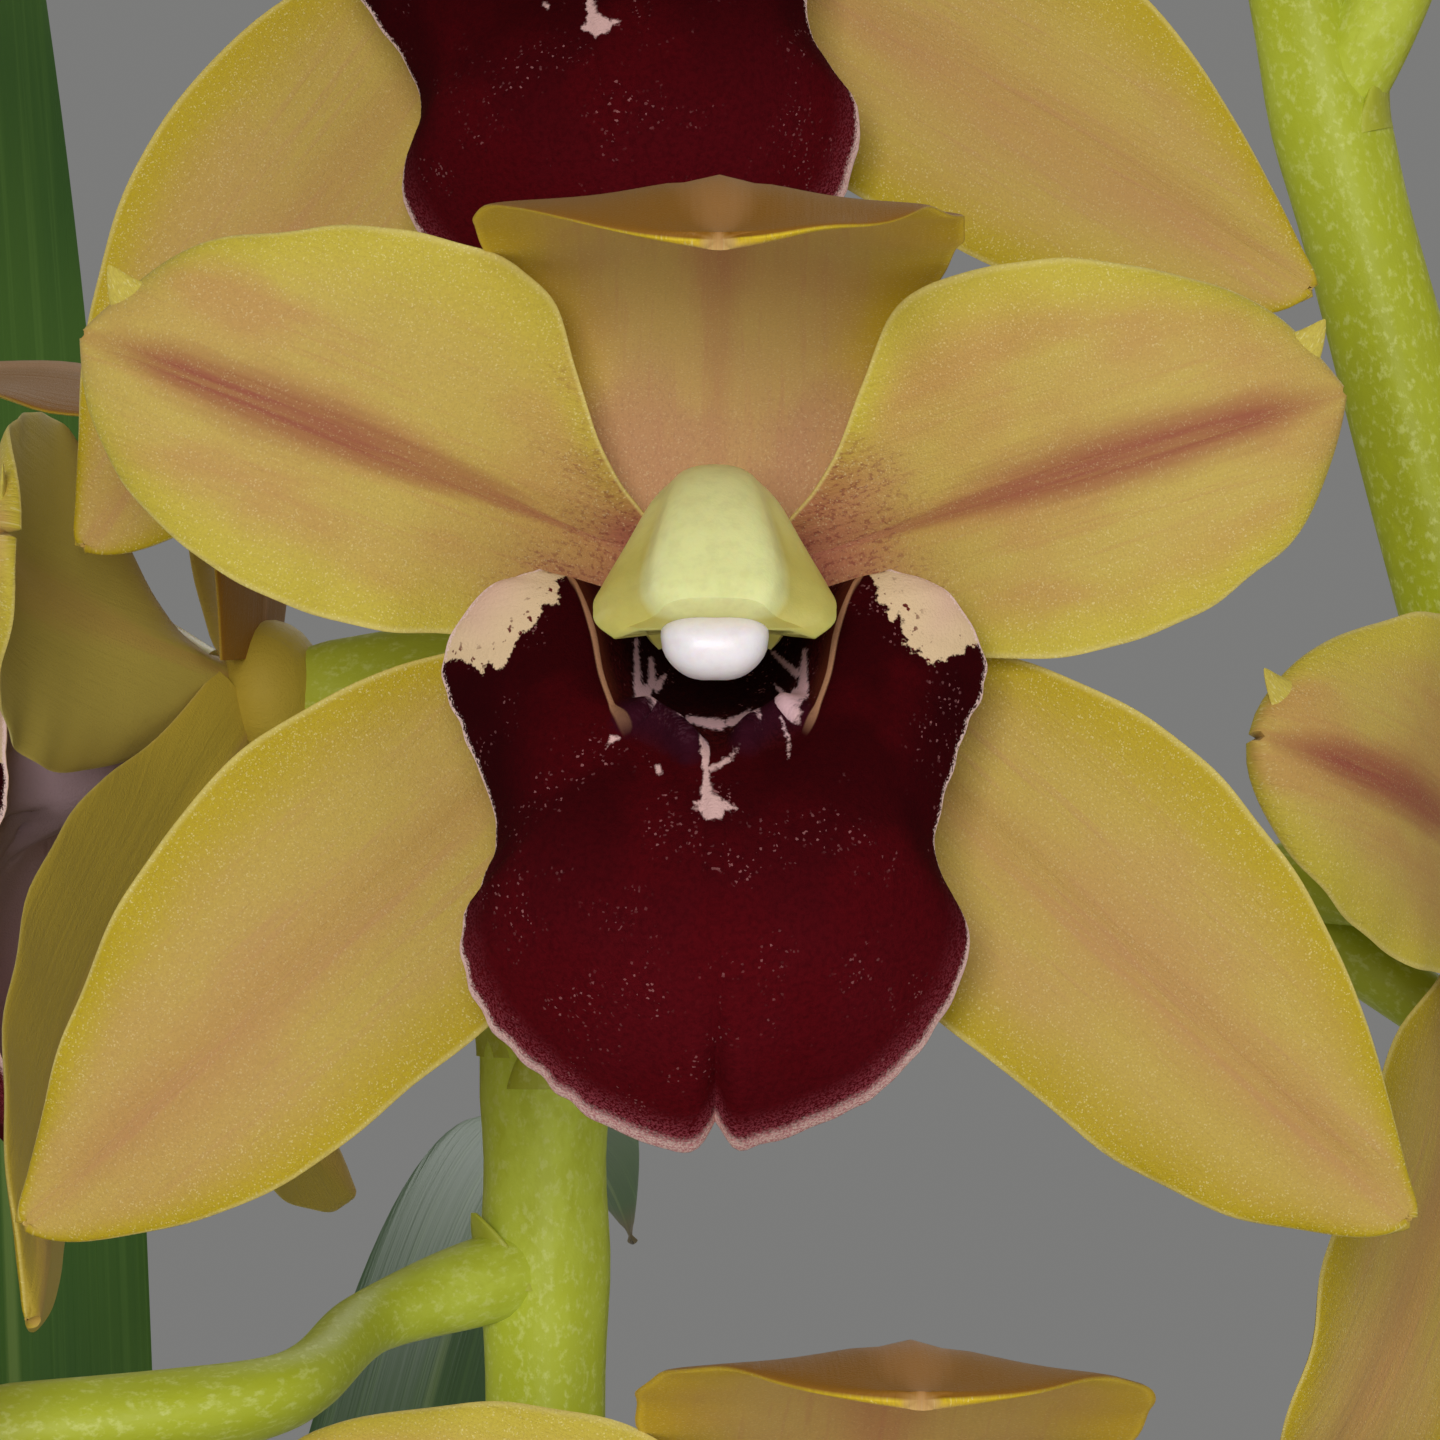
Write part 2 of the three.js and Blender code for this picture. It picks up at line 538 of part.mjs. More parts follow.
// Each growth has a pseudobulb at a place on the bark and strap leaves. A leaf is [azimuth, length,
// width, rise at its foot, bend to its tip], in degrees and millimetres, with azimuth 0 to +X and 90 to
// the back.
const GROWTHS = [
  { at: [-44, -22], scale: 1, leaves: [[176, 430, 21, 66, 106], [196, 400, 20, 58, 100],
    [214, 330, 19, 50, 96], [158, 450, 22, 70, 100], [236, 260, 18, 44, 92], [186, 300, 18, 38, 74]] },
  { at: [46, -30], scale: 0.96, leaves: [[-8, 410, 21, 60, 104], [-26, 430, 21, 58, 104],
    [-44, 360, 20, 50, 98], [-62, 260, 18, 42, 90], [8, 370, 19, 50, 92], [-16, 280, 18, 36, 70]] },
  { at: [-34, 42], scale: 1.04, leaves: [[100, 480, 22, 84, 58], [118, 510, 23, 76, 92],
    [136, 480, 22, 70, 100], [150, 410, 21, 60, 96], [84, 450, 21, 74, 98], [128, 330, 19, 46, 80]] },
  { at: [44, 44], scale: 1, leaves: [[62, 490, 22, 82, 60], [44, 460, 22, 70, 98], [28, 430, 21, 62, 100],
    [76, 460, 22, 72, 96], [12, 360, 20, 52, 92], [48, 330, 19, 44, 78]] },
];
const BACK_BULB = { at: [-4, 62], scale: 0.86 };

const BULB_RINGS = 5;
const BULB_PROFILE = [[0, 0.62], [0.12, 0.86], [0.35, 1], [0.6, 0.9], [0.82, 0.6], [0.95, 0.32], [1, 0.12]];

function bulbSolid(at, scale, clearance) {
  const height = BULB_HEIGHT * scale;
  const foot = BARK_TOP - BULB_SUNK - clearance;
  const outline = [new THREE.Vector2(0, 0)];
  for (let i = 0; i <= BULB_RINGS; i += 1) {
    const share = i / BULB_RINGS;
    outline.push(new THREE.Vector2(BULB_RADIUS * scale * smooth(BULB_PROFILE, share)[0] + clearance,
      share * height + (i === BULB_RINGS ? clearance : 0)));
  }
  outline.push(new THREE.Vector2(0, height + clearance));
  const bulb = new THREE.LatheGeometry(outline, 10);
  bulb.rotateX(Math.PI / 2);
  bulb.scale(1, (BULB_RADIUS * BULB_FLATNESS + clearance) / (BULB_RADIUS + clearance), 1);
  bulb.translate(at[0], at[1], foot);
  return solidOfGeometry(bulb);
}

const LEAF_WIDTHS = [[0, 0.5], [0.12, 0.62], [0.3, 0.92], [0.5, 1], [0.75, 0.84], [0.92, 0.46], [1, 0.1]];
const LEAF_FOLD = [[0, 46], [0.3, 30], [1, 16]];   // degrees that each half is folded up from flat

function leafSolid(foot, [azimuth, length, width, rise, bend]) {
  const outward = new THREE.Vector3(Math.cos(radians(azimuth)), Math.sin(radians(azimuth)), 0);
  const across = new THREE.Vector3(-outward.y, outward.x, 0);
  const steps = 10;
  const pitchAt = (share) => radians(rise - bend * share ** LEAF_BEND_POWER);
  const centre = foot.clone();
  const rings = [];
  for (let i = 0; i <= LEAF_SPANS; i += 1) {
    const share = i / LEAF_SPANS;
    const pitch = pitchAt(share);
    const up = outward.clone().multiplyScalar(-Math.sin(pitch));
    up.z = Math.cos(pitch);
    const half = width / 2 * smooth(LEAF_WIDTHS, share)[0];
    const fold = radians(smooth(LEAF_FOLD, share)[0]);
    const edge = (side) => centre.clone().addScaledVector(across, side * half * Math.cos(fold))
      .addScaledVector(up, half * Math.sin(fold));
    const thick = up.clone().multiplyScalar(LEAF_THICKNESS);
    const upper = [edge(-1), centre.clone(), edge(1)];
    const lower = upper.map((spot) => spot.clone().sub(thick)).reverse();
    rings.push([...upper, ...lower]);
    for (let j = 0; j < steps; j += 1) {
      const within = pitchAt((i + (j + 0.5) / steps) / LEAF_SPANS);
      const step = length / LEAF_SPANS / steps;
      centre.addScaledVector(outward, Math.cos(within) * step);
      centre.z += Math.sin(within) * step;
    }
  }
  return loft(rings);
}

function growthSolid({ at, scale, leaves }) {
  const bulb = bulbSolid(at, scale, 0);
  const top = BARK_TOP - BULB_SUNK + BULB_HEIGHT * scale;
  const blades = leaves.map((leaf, i) => {
    const azimuth = radians(leaf[0]);
    const foot = new THREE.Vector3(at[0], at[1], top - mix(...LEAF_SINKS, i / leaves.length));
    foot.x += LEAF_LEAN * Math.cos(azimuth);
    foot.y += LEAF_LEAN * Math.sin(azimuth);
    return leafSolid(foot, leaf);
  });
  return fuse([bulb, ...blades]);
}

// Pot and bark

function potSolid() {
  const rimFoot = POT_HEIGHT - POT_RIM_HEIGHT;
  const rimFootRadius = mix(POT_BASE_RADIUS, POT_TOP_RADIUS, rimFoot / POT_HEIGHT);
  const outline = [[0, 0], [POT_BASE_RADIUS, 0], [rimFootRadius, rimFoot - 2 * POT_BEVEL],
    [POT_RIM_RADIUS - POT_BEVEL, rimFoot], [POT_RIM_RADIUS, POT_HEIGHT - POT_BEVEL],
    [POT_RIM_RADIUS - POT_BEVEL, POT_HEIGHT], [POT_TOP_RADIUS - POT_WALL, POT_HEIGHT],
    [POT_BASE_RADIUS - POT_WALL, POT_FLOOR], [0, POT_FLOOR]];
  const wall = new THREE.LatheGeometry(outline.map(([r, z]) => new THREE.Vector2(r, z)), POT_SIDES);
  wall.rotateX(Math.PI / 2);
  let pot = solidOfGeometry(wall);
  for (let i = 0; i < DRAIN_COUNT; i += 1) {
    const turn = 2 * Math.PI * (i + 0.5) / DRAIN_COUNT;
    const drain = new THREE.CylinderGeometry(DRAIN_RADIUS, DRAIN_RADIUS, POT_FLOOR * 3, 12);
    drain.rotateX(Math.PI / 2);
    drain.translate(DRAIN_CIRCLE * Math.cos(turn), DRAIN_CIRCLE * Math.sin(turn), POT_FLOOR / 2);
    pot = pot.subtract(solidOfGeometry(drain));
  }
  return pot;
}

// The pot's inner radius at a height above its floor.
function potInside(height) {
  const share = (height - POT_FLOOR) / (POT_HEIGHT - POT_FLOOR);
  return mix(POT_BASE_RADIUS - POT_WALL, POT_TOP_RADIUS - POT_WALL, share);
}

function barkSolid(holes) {
  const low = POT_FLOOR + GAP;
  const outline = [[0, low], [potInside(low) - GAP, low], [potInside(BARK_TOP) - GAP, BARK_TOP],
    [0, BARK_TOP]];
  const plug = new THREE.LatheGeometry(outline.map(([r, z]) => new THREE.Vector2(r, z)), POT_SIDES);
  plug.rotateX(Math.PI / 2);
  const draw = seededDraw(CHIP_SEED);
  const tilt = () => radians(mix(-CHIP_TILT, CHIP_TILT, draw()));
  const chips = [];
  for (let i = 0; i < CHIP_COUNT; i += 1) {
    const radius = (potInside(BARK_TOP) - CHIP_LENGTH * 0.75) * Math.sqrt((i + 0.5) / CHIP_COUNT);
    const turn = i * GOLDEN_ANGLE + draw() * 0.5;
    const sizes = [CHIP_LENGTH * mix(0.6, 1.1, draw()), CHIP_WIDTH * mix(0.7, 1.2, draw()),
      CHIP_HEIGHT * mix(0.8, 1.3, draw())];
    const chip = new THREE.BoxGeometry(...sizes);
    chip.rotateX(tilt());
    chip.rotateY(tilt());
    chip.rotateZ(draw() * Math.PI);
    chip.translate(radius * Math.cos(turn), radius * Math.sin(turn), BARK_TOP + CHIP_RISE);
    chips.push(solidOfGeometry(chip));
  }
  return holes.reduce((bark, hole) => bark.subtract(hole), fuse([solidOfGeometry(plug), ...chips]));
}

// A plain hole for the foot of a flower stem.
function stemHole(path) {
  const curve = new THREE.CatmullRomCurve3(path.map(fromMain));
  const along = curve.getTangentAt(0);
  const start = curve.getPointAt(0).addScaledVector(along, -GAP * 2);
  const end = start.clone().addScaledVector(along, STEM_HOLE_LENGTH);
  return stem([start, end], () => RACHIS_RADIUS + 2 * GAP, 1, 12);
}

// The whole plant in its pot

const orchid = new THREE.Group();

function place(name, solid, finish) {
  const mesh = new THREE.Mesh(geometryOf(solid), new THREE.MeshStandardMaterial(finish));
  mesh.name = name;
  orchid.add(mesh);
  return mesh;
}

place('pot', potSolid(), FINISH.pot);

const bulbs = [...GROWTHS, BACK_BULB];
const bulbHoles = bulbs.map(({ at, scale }) => bulbSolid(at, scale, GAP));
const holes = [...bulbHoles, stemHole(SPIKE_A_PATH), stemHole(SPIKE_B_PATH)];
place('bark_mix', barkSolid(holes), FINISH.bark);
GROWTHS.forEach((growth, i) => place(`growth_${i + 1}`, growthSolid(growth), FINISH.leaf));
place('back_bulb', bulbSolid(BACK_BULB.at, BACK_BULB.scale, 0), FINISH.leaf);
place('spike_a_stem', spikeSolid(SPIKE_A_PATH, SPIKE_A_BLOOMS, SPIKE_A_BUDS), FINISH.stem);
place('spike_b_stem', spikeSolid(SPIKE_B_PATH, SPIKE_B_BLOOMS, SPIKE_B_BUDS), FINISH.stem);

const bloomSolids = { tepals: tepalsSolid(), lip: lipSolid(), column: columnSolid(0), cap: capSolid() };
[...SPIKE_A_BLOOMS, ...SPIKE_B_BLOOMS].forEach((bloom, i) => {
  const spot = bloomPlace(bloom);
  const number = String(i + 1).padStart(2, '0');
  for (const [part, solid] of Object.entries(bloomSolids)) {
    const mesh = place(`bloom_${number}_${part}`, solid, FINISH[part]);
    mesh.position.copy(spot.position);
    mesh.quaternion.copy(spot.quaternion);
    mesh.scale.copy(spot.scale);
  }
});

export default orchid;
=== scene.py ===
"""Looks of a potted cymbidium orchid: two flower spikes over four leafy growths in a plain pot.

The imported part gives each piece's place and size. Every piece here is a finer skin over one of its
nodes: the same curves, with veins, waves, folds and colour. Lengths are in millimetres until a piece
becomes a mesh, and each bloom is shaped in its own frame: x to its right, z up, facing -y, with its
origin at the top of its ovary.
"""

import logging
from collections.abc import Callable, Sequence
from dataclasses import dataclass, replace
from enum import IntEnum
from typing import ClassVar

import bpy
import numpy as np
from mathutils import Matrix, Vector


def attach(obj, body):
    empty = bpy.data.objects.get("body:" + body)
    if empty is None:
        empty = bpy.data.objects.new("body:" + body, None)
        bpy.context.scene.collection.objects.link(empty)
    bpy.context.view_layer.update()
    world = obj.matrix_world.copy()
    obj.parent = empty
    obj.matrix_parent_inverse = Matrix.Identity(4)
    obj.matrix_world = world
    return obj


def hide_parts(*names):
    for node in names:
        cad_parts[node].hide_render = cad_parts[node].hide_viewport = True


LOG = logging.getLogger("orchid")
logging.basicConfig(level=logging.INFO, format="%(name)s: %(message)s")

Array = np.ndarray
Pair = tuple[float, float]
Triple = tuple[float, float, float]
Colour = Triple
Table = Sequence[Sequence[float]]
Thing = bpy.types.Object
Material = bpy.types.Material
Tree = bpy.types.NodeTree
Socket = bpy.types.NodeSocket
Value = Socket | float | Colour

MM = 0.001
FAR = 99.0
SLOPE_STEP = 1e-3
EDGE_CROWDING = 0.96

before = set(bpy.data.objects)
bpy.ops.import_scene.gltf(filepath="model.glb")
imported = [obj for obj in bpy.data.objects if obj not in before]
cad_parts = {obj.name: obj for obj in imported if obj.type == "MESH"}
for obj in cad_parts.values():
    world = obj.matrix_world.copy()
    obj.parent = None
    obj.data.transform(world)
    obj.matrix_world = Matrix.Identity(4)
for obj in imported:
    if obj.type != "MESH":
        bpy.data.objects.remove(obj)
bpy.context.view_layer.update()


# Numbers and curves


def mix(start: Array | float, end: Array | float, share: Array | float) -> Array | float:
    """Blends two values.

    Args:
        start: The value at share 0.
        end: The value at share 1.
        share: Where to read between them.

    Returns:
        start + (end - start) * share.
    """
    return start + (end - start) * share


def ease(low: float, high: float, value: Array) -> Array:
    """Rises smoothly from 0 to 1.

    Args:
        low: Where the rise begins.
        high: Where it ends. It may be below low, and then the result falls.
        value: Where to read it.

    Returns:
        3u² - 2u³, where u is the value's share of the way from low to high, held to 0..1.
    """
    u = np.clip((value - low) / (high - low), 0.0, 1.0)
    return u * u * (3.0 - 2.0 * u)


def bell(value: Array, centre: float, width: float) -> Array:
    """A soft bump: e to the power of minus the square of the distance from its centre over its width.

    Args:
        value: Where to read it.
        centre: Where it is 1.
        width: The distance at which it has fallen to 0.37.

    Returns:
        The bump's height, 0 to 1.
    """
    return np.exp(-(((value - centre) / width) ** 2))


def unit(vectors: Array) -> Array:
    """Scales vectors to length 1.

    Args:
        vectors: Vectors along the last axis.

    Returns:
        The same directions.
    """
    return vectors / np.maximum(np.linalg.norm(vectors, axis=-1, keepdims=True), 1e-9)


def around_axis(vectors: Array, axis: Array, turn: Array) -> Array:
    """Turns vectors about an axis they are square to.

    Args:
        vectors: Vectors square to the axis.
        axis: Unit axis.
        turn: Angle in radians.

    Returns:
        v cos(turn) + (axis × v) sin(turn).
    """
    return vectors * np.cos(turn) + np.cross(axis, vectors) * np.sin(turn)


def stacked(*parts: Array | float) -> Array:
    """Puts numbers side by side.

    Args:
        *parts: Numbers that broadcast to one shape.

    Returns:
        Rows of them, on a new last axis.
    """
    return np.stack(np.broadcast_arrays(*parts), -1)


def circle(count: int) -> Array:
    """Spreads angles round a circle.

    Args:
        count: How many.

    Returns:
        Angles in radians from 0, evenly spread, without a full turn.
    """
    return np.linspace(0, 2 * np.pi, count, endpoint=False)


class Knots:
    """A smooth curve through knots [place, value, value, ...]."""

    def __init__(self, rows: Table) -> None:
        """Fits the curve.

        The slope at a knot is the mean of the slopes beside it, each weighted by the other's span.

        Args:
            rows: The knots, in rising order of place.
        """
        table = np.asarray(rows, float)
        self.places = table[:, 0]
        self.values = self.prepared(table[:, 1:])
        self.spans = np.diff(self.places)
        slopes = np.diff(self.values, axis=0) / self.spans[:, None]
        before, after = self.spans[:-1, None], self.spans[1:, None]
        inner = (slopes[:-1] * after + slopes[1:] * before) / (before + after)
        self.tangents = np.vstack([slopes[:1], inner, slopes[-1:]])

    def prepared(self, values: Array) -> Array:
        """The values that the curve runs through."""
        return values

    def shortened(self, share: float) -> "Knots":
        """The same curve with its first value scaled by a share."""
        factors = np.ones(self.values.shape[1])
        factors[0] = share
        return Knots(np.column_stack([self.places, self.values * factors]))

    def __call__(self, at: Array | float) -> Array:
        """Reads the curve.

        Between two knots it is the cubic with their values and slopes.

        Args:
            at: Places of any shape.

        Returns:
            The values, with a last axis unless each knot has a single value.
        """
        place = np.clip(np.asarray(at, float), self.places[0], self.places[-1])
        i = np.clip(np.searchsorted(self.places, place) - 1, 0, len(self.spans) - 1)
        h = self.spans[i][..., None]
        u = (place - self.places[i])[..., None] / h
        out = (2 * u**3 - 3 * u**2 + 1) * self.values[i]
        out = out + (u**3 - 2 * u**2 + u) * h * self.tangents[i]
        out = out + (3 * u**2 - 2 * u**3) * self.values[i + 1]
        out = out + (u**3 - u**2) * h * self.tangents[i + 1]
        return out[..., 0] if out.shape[-1] == 1 else out


class HalfWidth(Knots):
    """A half width whose square is smooth, so that a tip that closes is round."""

    def prepared(self, values: Array) -> Array:
        """Squares, because the curve runs through the squares."""
        return values**2

    def __call__(self, at: Array | float) -> Array:
        """The root of the curve through the squares."""
        return np.sqrt(np.maximum(super().__call__(at), 0.0))


class Path:
    """A round curve through points, read by its share of length."""

    samples = 600

    def __init__(self, points: Table) -> None:
        """Samples the curve.

        It is the centripetal curve that the part's own stems follow.

        Args:
            points: Points on it, in mm.
        """
        p = np.asarray(points, float)
        first, last = 2 * p[0] - p[1], 2 * p[-1] - p[-2]
        p = np.vstack([first, p, last])
        gaps = np.maximum(np.linalg.norm(np.diff(p, axis=0), axis=1) ** 0.5, 1e-4)
        at = np.linspace(0, len(p) - 3, self.samples)
        i = np.minimum(at.astype(int), len(p) - 4)
        w = (at - i)[:, None]
        p0, p1, p2, p3 = (p[i + k] for k in range(4))
        d0, d1, d2 = (gaps[i + k][:, None] for k in range(3))
        leave = ((p1 - p0) / d0 - (p2 - p0) / (d0 + d1) + (p2 - p1) / d1) * d1
        reach = ((p2 - p1) / d1 - (p3 - p1) / (d1 + d2) + (p3 - p2) / d2) * d1
        rest = -3 * p1 + 3 * p2 - 2 * leave - reach
        end = 2 * p1 - 2 * p2 + leave + reach
        self.points = p1 + leave * w + rest * w**2 + end * w**3
        steps = np.linalg.norm(np.diff(self.points, axis=0), axis=1)
        self.along = np.concatenate([[0.0], np.cumsum(steps)])
        self.length = self.along[-1]

    def __call__(self, share: Array | float) -> Array:
        """The points at shares of the length."""
        wanted = np.asarray(share, float) * self.length
        return np.stack([np.interp(wanted, self.along, self.points[:, k]) for k in range(3)], -1)

    def tangent(self, share: Array | float) -> Array:
        """The unit directions at shares of the length."""
        share = np.asarray(share, float)
        step = 2.0 / len(self.points)
        return unit(self(np.minimum(share + step, 1)) - self(np.maximum(share - step, 0)))

    def at_height(self, height: float) -> float:
        """The share of the length where the curve is at that height."""
        return float(np.interp(height, self.points[:, 2], self.along) / self.length)


class Ripple:
    """A seeded sum of sines: a cheap, smooth, irregular wave."""

    terms = 6

    def __init__(self, seed: int, low: float, high: float) -> None:
        """Draws the wave.

        Args:
            seed: The draw's seed.
            low: Fewest waves in a unit of length.
            high: Most waves in a unit of length.
        """
        draw = np.random.default_rng(seed)
        self.rates = 2 * np.pi * draw.uniform(low, high, self.terms)
        self.starts = draw.uniform(0, 2 * np.pi, self.terms)

    def __call__(self, place: Array) -> Array:
        """The mean of the sines at a place, -1 to 1."""
        waves = np.sin(place[..., None] * self.rates + self.starts)
        return waves.mean(-1) * 1.6


# Meshes


class Side(IntEnum):
    """Which face of a thin piece a point is on."""

    BACK = 0
    FRONT = 1


@dataclass
class Patch:
    """One closed skin before it becomes a mesh.

    Attributes:
        points: Points in mm, one row each.
        faces: Lists of corner numbers, all with three corners or all with four in each array.
        marks: What the points carry for the materials, by name, as rows of three numbers.
        finish: Number of the piece's material for this skin.
    """

    points: Array
    faces: list[Array]
    marks: dict[str, Array]
    finish: int = 0

    def moved(self, matrix: Array, shift: Array) -> "Patch":
        """The same skin after a turn and scale, then a shift."""
        return replace(self, points=self.points @ matrix.T + shift)

    def facing_out(self) -> "Patch":
        """The same skin with its faces turned so that its volume is positive."""
        volume = 0.0
        for block in self.faces:
            for k in range(1, block.shape[1] - 1):
                a, b, c = (self.points[block[:, i]] for i in (0, k, k + 1))
                volume += np.einsum("ij,ij->i", a, np.cross(b, c)).sum()
        if volume >= 0:
            return self
        return replace(self, faces=[block[:, ::-1] for block in self.faces])


def tube(rings: Array, marks: dict[str, Array], finish: int = 0) -> Patch:
    """A closed skin over rings of points, with a fan over each end.

    Args:
        rings: Points, as ring by place round the ring by three.
        marks: For each name, numbers laid out as the rings are.
        finish: Number of the piece's material.

    Returns:
        The skin, with one more point in the middle of each end.
    """
    high, wide = rings.shape[:2]
    i, j = np.meshgrid(np.arange(high - 1), np.arange(wide), indexing="ij")
    a, b = i * wide + j, i * wide + (j + 1) % wide
    walls = stacked(a, b, b + wide, a + wide).reshape(-1, 4)
    k = np.arange(wide)
    turn = (k + 1) % wide
    low, top = high * wide, high * wide + 1
    last = (high - 1) * wide
    ends = np.vstack([
        stacked(np.full(wide, low), turn, k),
        stacked(np.full(wide, top), last + k, last + turn),
    ])

    def with_ends(grid: Array) -> Array:
        """Adds the middle of the first ring and of the last."""
        flat = grid.reshape(high * wide, -1)
        return np.vstack([flat, grid[0].mean(0)[None], grid[-1].mean(0)[None]])

    skin = Patch(with_ends(rings), [walls, ends], {n: with_ends(m) for n, m in marks.items()}, finish)
    return skin.facing_out()


def leafed(middle: Array, normal: Array, half: Array, marks: dict[str, Array], finish: int = 0) -> Patch:
    """A thin closed piece round a middle surface.

    Each row becomes a ring that runs over the front and returns over the back. The two faces meet at
    the row's ends, where the thickness must have closed.

    Args:
        middle: Points of the middle surface, row by column by three.
        normal: Unit normals, towards the front.
        half: Half thickness at each point.
        marks: Rows of three numbers at each point of the middle surface.
        finish: Number of the piece's material.

    Returns:
        The skin, with the mark "side" added: 1 on the front and 0 on the back.
    """
    lift = normal * half[..., None]
    back = slice(-2, 0, -1)
    rings = np.concatenate([middle + lift, (middle - lift)[:, back]], axis=1)
    spread = {n: np.concatenate([m, m[:, back]], axis=1) for n, m in marks.items()}
    side = np.full(rings.shape, float(Side.BACK))
    side[:, : middle.shape[1]] = Side.FRONT
    side[:, 0] = side[:, middle.shape[1] - 1] = 0.5
    spread["side"] = side
    return tube(rings, spread, finish)


def normals_of(grid: Array, towards: Array | None = None) -> Array:
    """Unit normals of a surface given as rows and columns of points.

    Args:
        grid: Points, row by column by three.
        towards: Directions that the normals must not point away from, if any.

    Returns:
        The direction along a column crossed with the direction along a row, at each point.
    """
    down = np.gradient(grid, axis=0)
    over = np.gradient(grid, axis=1)
    normal = unit(np.cross(down, over))
    if towards is None:
        return normal
    return normal * np.sign(np.sum(normal * towards, -1, keepdims=True))


def closing(across: Array, sharpness: float = 8.0) -> Array:
    """How a thin piece's thickness closes at its edges.

    Args:
        across: Place from edge to edge, -1 to 1.
        sharpness: A higher power keeps the full thickness closer to the edge.

    Returns:
        The root of 1 - |across| to that power.
    """
    return np.sqrt(np.maximum(1.0 - np.abs(across) ** sharpness, 0.0))


def edge_places(count: int) -> Array:
    """Places from -1 to 1 that crowd towards both ends: the sine of evenly spread angles."""
    angles = np.linspace(-np.pi / 2, np.pi / 2, count) * EDGE_CROWDING
    return np.sin(angles) / np.sin(np.pi / 2 * EDGE_CROWDING)


def placed(name: str, data: bpy.types.ID) -> Thing:
    """Puts a new object in the scene.

    Args:
        name: Its name.
        data: Its mesh, light or camera.

    Returns:
        The object, at the origin, unturned and unscaled.
    """
    thing = bpy.data.objects.new(name, data)
    bpy.context.scene.collection.objects.link(thing)
    return thing


class Piece:
    """A mesh object that is put together from closed skins."""

    def __init__(self, name: str, finishes: Sequence[Material]) -> None:
        """Starts an empty piece.

        Args:
            name: Name of the object.
            finishes: Its materials, in the order of the skins' numbers.
        """
        self.name = name
        self.finishes = list(finishes)
        self.patches: list[Patch] = []

    def add(self, *patches: Patch) -> None:
        """Adds skins."""
        self.patches.extend(patches)

    def shape(self, smooth_below: float = 60.0) -> Thing:
        """Makes the mesh object.

        Args:
            smooth_below: Edges sharper than this angle, in degrees, stay sharp.

        Returns:
            The object, at the origin, unturned and unscaled.
        """
        offsets = np.cumsum([0] + [len(p.points) for p in self.patches])
        faces: list[list[int]] = []
        numbers: list[int] = []
        for patch, offset in zip(self.patches, offsets):
            for block in patch.faces:
                faces.extend((block + offset).tolist())
                numbers.extend([patch.finish] * len(block))
        mesh = bpy.data.meshes.new(self.name)
        points = np.vstack([p.points for p in self.patches]) * MM
        mesh.from_pydata(points.tolist(), [], faces)
        mesh.polygons.foreach_set("material_index", np.array(numbers, np.int32))
        for name in sorted({n for p in self.patches for n in p.marks}):
            rows = [p.marks.get(name, np.zeros((len(p.points), 3))) for p in self.patches]
            layer = mesh.attributes.new(name, "FLOAT_VECTOR", "POINT")
            layer.data.foreach_set("vector", np.vstack(rows).astype(np.float32).ravel())
        for finish in self.finishes:
            mesh.materials.append(finish)
        mesh.shade_smooth()
        mesh.set_sharp_from_angle(angle=np.radians(smooth_below))
        mesh.update()
        return placed(self.name, mesh)

    def build(self, nodes: Sequence[str], slot: str, smooth_below: float = 60.0) -> Thing:
        """Makes the mesh object and enters it in the frame.

        Args:
            nodes: The part's nodes that it stands for.
            slot: The record's material slot; not used.
            smooth_below: Edges sharper than this angle, in degrees, stay sharp.

        Returns:
            The object.
        """
        thing = self.shape(smooth_below)
        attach(thing, "root")
        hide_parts(*nodes)
        LOG.info("%s: %d faces", self.name, len(thing.data.polygons))
        return thing


# Materials


def feed(tree: Tree, target: Socket, value: Value) -> None:
    """Links a socket to an input, or sets the input to a constant.

    Args:
        tree: The tree that holds both.
        target: The input.
        value: The socket to link, or the number, colour or vector to set.
    """
    if isinstance(value, Socket):
        tree.links.new(value, target)
    elif isinstance(value, tuple) and target.type == "RGBA":
        target.default_value = (*value, 1.0)
    else:
        target.default_value = value


